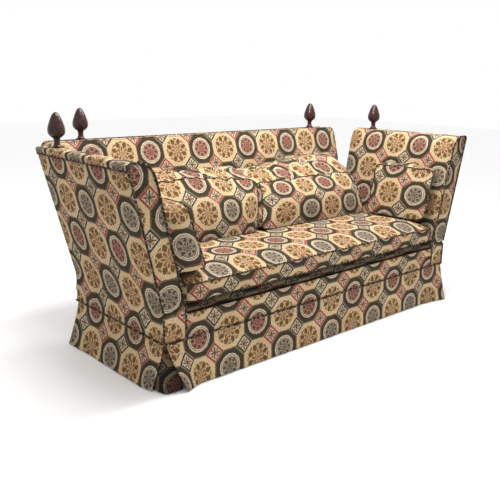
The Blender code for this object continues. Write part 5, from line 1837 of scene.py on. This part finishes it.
class KNOLE_OT_seat_cushion(bpy.types.Operator):
    """Fills the long seat cushion"""

    bl_idname = "knole.seat_cushion"
    bl_label = "Seat cushion"

    def execute(self, context):
        settings = context.scene.knole_cushions
        half_u = SEAT_HIGH.x - CUSHION_ROOM
        half_v = (SEAT_HIGH.y - SEAT_LOW.y) / 2 - CUSHION_ROOM
        centre_y = (SEAT_HIGH.y + SEAT_LOW.y) / 2

        def place(u, v, w):
            return Vector((u, centre_y + v, SEAT_LOW.z + 0.001 + max(0.0, w)))

        def face_chart(u, v):
            return u - SEAT_FIGURE[0], centre_y + v - SEAT_FIGURE[1]

        def band_chart(length, height, point):
            return length - BAND_FIGURE[0], height + BAND_FIGURE[1]

        def slump(u, v, w):
            share = max(0.0, w / SEAT_BOXING)
            sag = ripple((u, v, 0.0), 0.22, 0.0035, 21.0) + ripple((u, v, 0.0), 0.07, 0.001, 23.0)
            front = ripple((u, 0.0, w), 0.12, 0.0015, 25.0) * max(0.0, -v / half_v) ** 6
            return (0.0, front, share * sag)

        crown_top = SEAT_HIGH.z - SEAT_LOW.z - SEAT_BOXING - settings.seat_cap * 0.6
        shape = ((half_u, half_v), SEAT_BOXING, (0.0, crown_top), place, (face_chart, band_chart), slump)
        cap = settings.seat_cap
        build_cushion("seat_cushion", *shape, edge=0.07, step=0.024, pull=0.003, cap=cap, stands=False)
        return {"FINISHED"}


class KNOLE_OT_back_cushions(bpy.types.Operator):
    """Fills the two soft back cushions, slumped against the back"""

    bl_idname = "knole.back_cushions"
    bl_label = "Back cushions"

    def execute(self, context):
        settings = context.scene.knole_cushions
        thickness = BACK_CUSHION_THICKNESS
        for side, word in SIDES:
            low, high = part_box(word + "_back_cushion")
            room = 0.006
            half_u = (high.x - low.x) / 2 - room
            half_v = (high.z - low.z) / 2 - room
            centre_x = (high.x + low.x) / 2
            centre_z = (high.z + low.z) / 2
            rear_slope = math.tan(BACK_CUSHION_LEAN)
            front_slope = math.tan(BACK_CUSHION_FACE_LEAN)
            foot = low.y - 0.022
            figure = BACK_CUSHION_FIGURES[word]

            def place(u, v, w):
                z = centre_z + v
                front = foot + (z - low.z) * front_slope
                rear = high.y - 0.020 - (high.z - z) * rear_slope
                share = clamped(w / thickness)
                beyond = w - share * thickness
                return Vector((centre_x + u, front + (rear - front) * share + beyond, z))

            def face_chart(u, v):
                return u - figure[0], (v - figure[1]) / math.cos(BACK_CUSHION_FACE_LEAN)

            def band_chart(length, height, point):
                return length - figure[0] - half_u, height + 0.075

            def slump(u, v, w):
                x = centre_x + u
                up = clamped((v / half_v + 1) / 2)
                depth = clamped(w / thickness)
                near_top = up**6
                front = 1 - depth
                # The top hangs, scalloped along its edges and furrowed between them
                low_front, low_rear = (np.interp(x, *droops) for droops in BACK_CUSHION_DROOPS[word])
                dz = -(low_front + (low_rear - low_front) * depth) * up**3
                scallop = noise.noise(Vector((x / 0.048, 3.0, w / 0.15)))
                dz += settings.crease * 0.85 * scallop * near_top * (1 - 0.5 * depth)
                phase = 3.3 * depth + 1.1 * x / half_u + 0.9 * noise.noise(Vector((x / 0.16, 8.0, 0.0)))
                furrow = abs(math.sin(math.pi * phase)) - 0.55
                dz += settings.crease * 0.95 * furrow * near_top * math.sin(math.pi * depth) ** 0.5
                # The face is creased, and leans out towards its top
                crease = noise.noise(Vector((x / 0.06, v / 0.14, w / 0.2)))
                crease += 0.5 * noise.noise(Vector((x / 0.13, v / 0.035, 4.0)))
                dy = settings.crease * (0.7 * crease * up**1.5 * front + 0.35 * scallop * near_top)
                dy += 0.020 * up**5 * front
                dx = -0.10 * front * (1 - up) ** 1.3 * max(0.0, 1 - abs(x) / 0.30)
                # Its end fills the corner by the arm
                end = max(0.0, side * u / half_u)
                dx += side * 0.030 * end**8 * min(1.0, depth * 3) * (1 - 0.4 * up)
                dz += 0.014 * (end * up) ** 6
                return (dx, dy, dz)

            crowns = (0.044 - settings.back_cap * 0.5, 0.004)
            shape = ((half_u, half_v), thickness, crowns, place, (face_chart, band_chart), slump)
            cap = settings.back_cap
            build_cushion(word + "_back_cushion", *shape, edge=0.13, step=0.014, pull=0.008, cap=cap, rows=18)
        return {"FINISHED"}


class KNOLE_OT_arm_cushions(bpy.types.Operator):
    """Fills the two smaller cushions that lean on the arms"""

    bl_idname = "knole.arm_cushions"
    bl_label = "Arm cushions"

    def execute(self, context):
        settings = context.scene.knole_cushions
        for side, word in SIDES:
            thickness = ARM_CUSHION_THICKNESS[word]
            low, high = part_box(word + "_arm_cushion")
            half_u = (high.y - low.y) / 2 - CUSHION_ROOM
            half_v = (high.z - low.z) / 2 - CUSHION_ROOM
            centre_y = (high.y + low.y) / 2
            centre_z = (high.z + low.z) / 2

            def place(u, v, w, side=side):
                z = centre_z + v
                face = outer_x(z) - ARM_THICKNESS - ARM_CUSHION_CLEARANCE
                return Vector((side * (face - w), centre_y + u, z))

            def face_chart(u, v, side=side):
                return side * -u - ARM_CUSHION_FIGURE[0], v - ARM_CUSHION_FIGURE[1]

            def band_chart(length, height, point):
                if point.x < 0.02 - half_u:
                    return height + FIGURE_PITCH, point.y - 0.129
                return height + FIGURE_PITCH, length * 0.97 - 0.02

            def slump(u, v, w, side=side):
                up = clamped((v / half_v + 1) / 2)
                wave = noise.noise(Vector((u / 0.05, 7.0 * side, w / 0.1)))
                crease = noise.noise(Vector((u / 0.045, v / 0.12, w / 0.2 + 9.0 * side)))
                droop = 0.012 * (0.4 + 0.6 * (u / half_u) ** 2)
                ahead = clamped((-u / half_u - 0.1) / 0.9)
                inward = clamped(w / thickness)
                dx = -side * settings.crease * 0.40 * crease * up
                if side < 0:
                    dx += 0.022 * (1 - up) * inward
                    dy = -0.024 * ahead * (1 - up)
                else:
                    dx += 0.034 * ahead * inward
                    dy = 0.050 * ahead * (1 - inward) + 0.02 * max(0.0, u / half_u)
                return (dx, dy, settings.crease * 0.8 * wave * up**4 - droop * up**3)

            crowns = (0.010, 0.018 - settings.arm_cap * 0.4)
            shape = ((half_u, half_v), thickness, crowns, place, (face_chart, band_chart), slump)
            cap = settings.arm_cap
            build_cushion(word + "_arm_cushion", *shape, edge=0.12, step=0.014, pull=0.005, cap=cap)
        return {"FINISHED"}


# The studio


CAMERA_PLACE = Vector((-2.3214, -2.48149, 1.2253))
CAMERA_YAW = math.radians(47.97)
CAMERA_PITCH = math.radians(14.57)
CAMERA_ROLL = math.radians(1.01)
LIGHT_PLACE = Vector((0.1, -0.28, 2.3))
LIGHT_TARGET = Vector((0.1, 0.1, 0.5))
LIGHT_SIZE = (2.4, 0.9)
FLOOR_REACH = 14.0
FLOOR_CELLS = 28


class KNOLE_OT_stage(bpy.types.Operator):
    """Sets up the pale floor, the soft light and the camera"""

    bl_idname = "knole.stage"
    bl_label = "Stage"

    def execute(self, context):
        settings = context.scene.knole_studio
        scene = context.scene
        scene.view_settings.view_transform = "Standard"
        self.lay_floor(scene)
        world = bpy.data.worlds.new("studio_air")
        world.use_nodes = True
        air = world.node_tree.nodes["Background"]
        air.inputs["Color"].default_value = (1.0, 1.0, 1.0, 1.0)
        air.inputs["Strength"].default_value = settings.fill_strength
        scene.world = world
        self.hang_light(scene, settings)
        self.place_camera(scene, settings)
        return {"FINISHED"}

    def lay_floor(self, scene):
        """A wide flat floor."""
        stops = spread(-FLOOR_REACH, FLOOR_REACH, FLOOR_CELLS)
        verts = [(x, y, 0.0) for x in stops for y in stops]
        row = len(stops)
        faces = []
        for i in range(FLOOR_CELLS):
            for j in range(FLOOR_CELLS):
                a = i * row + j
                faces.append((a, a + row, a + row + 1, a + 1))
        mesh = bpy.data.meshes.new("studio_floor")
        mesh.from_pydata(verts, [], faces)
        mesh.materials.append(finish("studio_floor"))
        floor = bpy.data.objects.new("studio_floor", mesh)
        scene.collection.objects.link(floor)
        floor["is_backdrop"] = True

    def hang_light(self, scene, settings):
        lamp = bpy.data.lights.new("key", "AREA")
        lamp.energy = settings.key_power
        lamp.shape = "RECTANGLE"
        lamp.size, lamp.size_y = LIGHT_SIZE
        obj = bpy.data.objects.new("key", lamp)
        obj.location = LIGHT_PLACE
        obj.rotation_euler = (LIGHT_TARGET - LIGHT_PLACE).to_track_quat("-Z", "Y").to_euler()
        scene.collection.objects.link(obj)

    def place_camera(self, scene, settings):
        flat = math.cos(CAMERA_PITCH)
        forward = Vector((math.cos(CAMERA_YAW) * flat, math.sin(CAMERA_YAW) * flat, -math.sin(CAMERA_PITCH)))
        right = forward.cross(Vector((0, 0, 1))).normalized()
        up = right.cross(forward)
        turned_right = right * math.cos(CAMERA_ROLL) + up * math.sin(CAMERA_ROLL)
        turned_up = up * math.cos(CAMERA_ROLL) - right * math.sin(CAMERA_ROLL)
        view = Matrix((turned_right, turned_up, -forward)).transposed().to_4x4()
        view.translation = CAMERA_PLACE
        lens = bpy.data.cameras.new("photo_view")
        lens.lens = settings.lens
        lens.sensor_width = 36.0
        camera = bpy.data.objects.new("photo_view", lens)
        camera.matrix_world = view
        scene.collection.objects.link(camera)
        scene.camera = camera


OPERATORS = (
    KNOLE_OT_frame_finishes,
    KNOLE_OT_back_covers,
    KNOLE_OT_arm_covers,
    KNOLE_OT_seat_covers,
    KNOLE_OT_piping,
    KNOLE_OT_skirts,
    KNOLE_OT_finials,
    KNOLE_OT_seat_cushion,
    KNOLE_OT_back_cushions,
    KNOLE_OT_arm_cushions,
    KNOLE_OT_stage,
)


class KNOLE_PT_sofa(bpy.types.Panel):
    """Lists the steps and the settings of the covers"""

    bl_idname = "KNOLE_PT_sofa"
    bl_label = "Knole Sofa"
    bl_space_type = "VIEW_3D"
    bl_region_type = "UI"
    bl_category = "Knole Sofa"

    def draw(self, context):
        column = self.layout.column()
        for kind in OPERATORS:
            column.operator(kind.bl_idname)
        for key, kind in SETTINGS.items():
            box = self.layout.box()
            for setting in kind.__annotations__:
                box.prop(getattr(context.scene, key), setting)


def register():
    for kind in SETTINGS.values():
        bpy.utils.register_class(kind)
    for key, kind in SETTINGS.items():
        setattr(bpy.types.Scene, key, bpy.props.PointerProperty(type=kind))
    for kind in OPERATORS + (KNOLE_PT_sofa,):
        bpy.utils.register_class(kind)


def unregister():
    for kind in reversed(OPERATORS + (KNOLE_PT_sofa,)):
        bpy.utils.unregister_class(kind)
    for key in SETTINGS:
        delattr(bpy.types.Scene, key)
    for kind in reversed(list(SETTINGS.values())):
        bpy.utils.unregister_class(kind)


def main():
    register()
    for kind in OPERATORS:
        step = kind.bl_idname.split(".")[1]
        getattr(bpy.ops.knole, step)()
    boxes = {"solids": SOLIDS_BOX, "covers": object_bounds()}
    plain = {key: [list(corner) for corner in box] for key, box in boxes.items()}


if __name__ == "__main__":
    main()
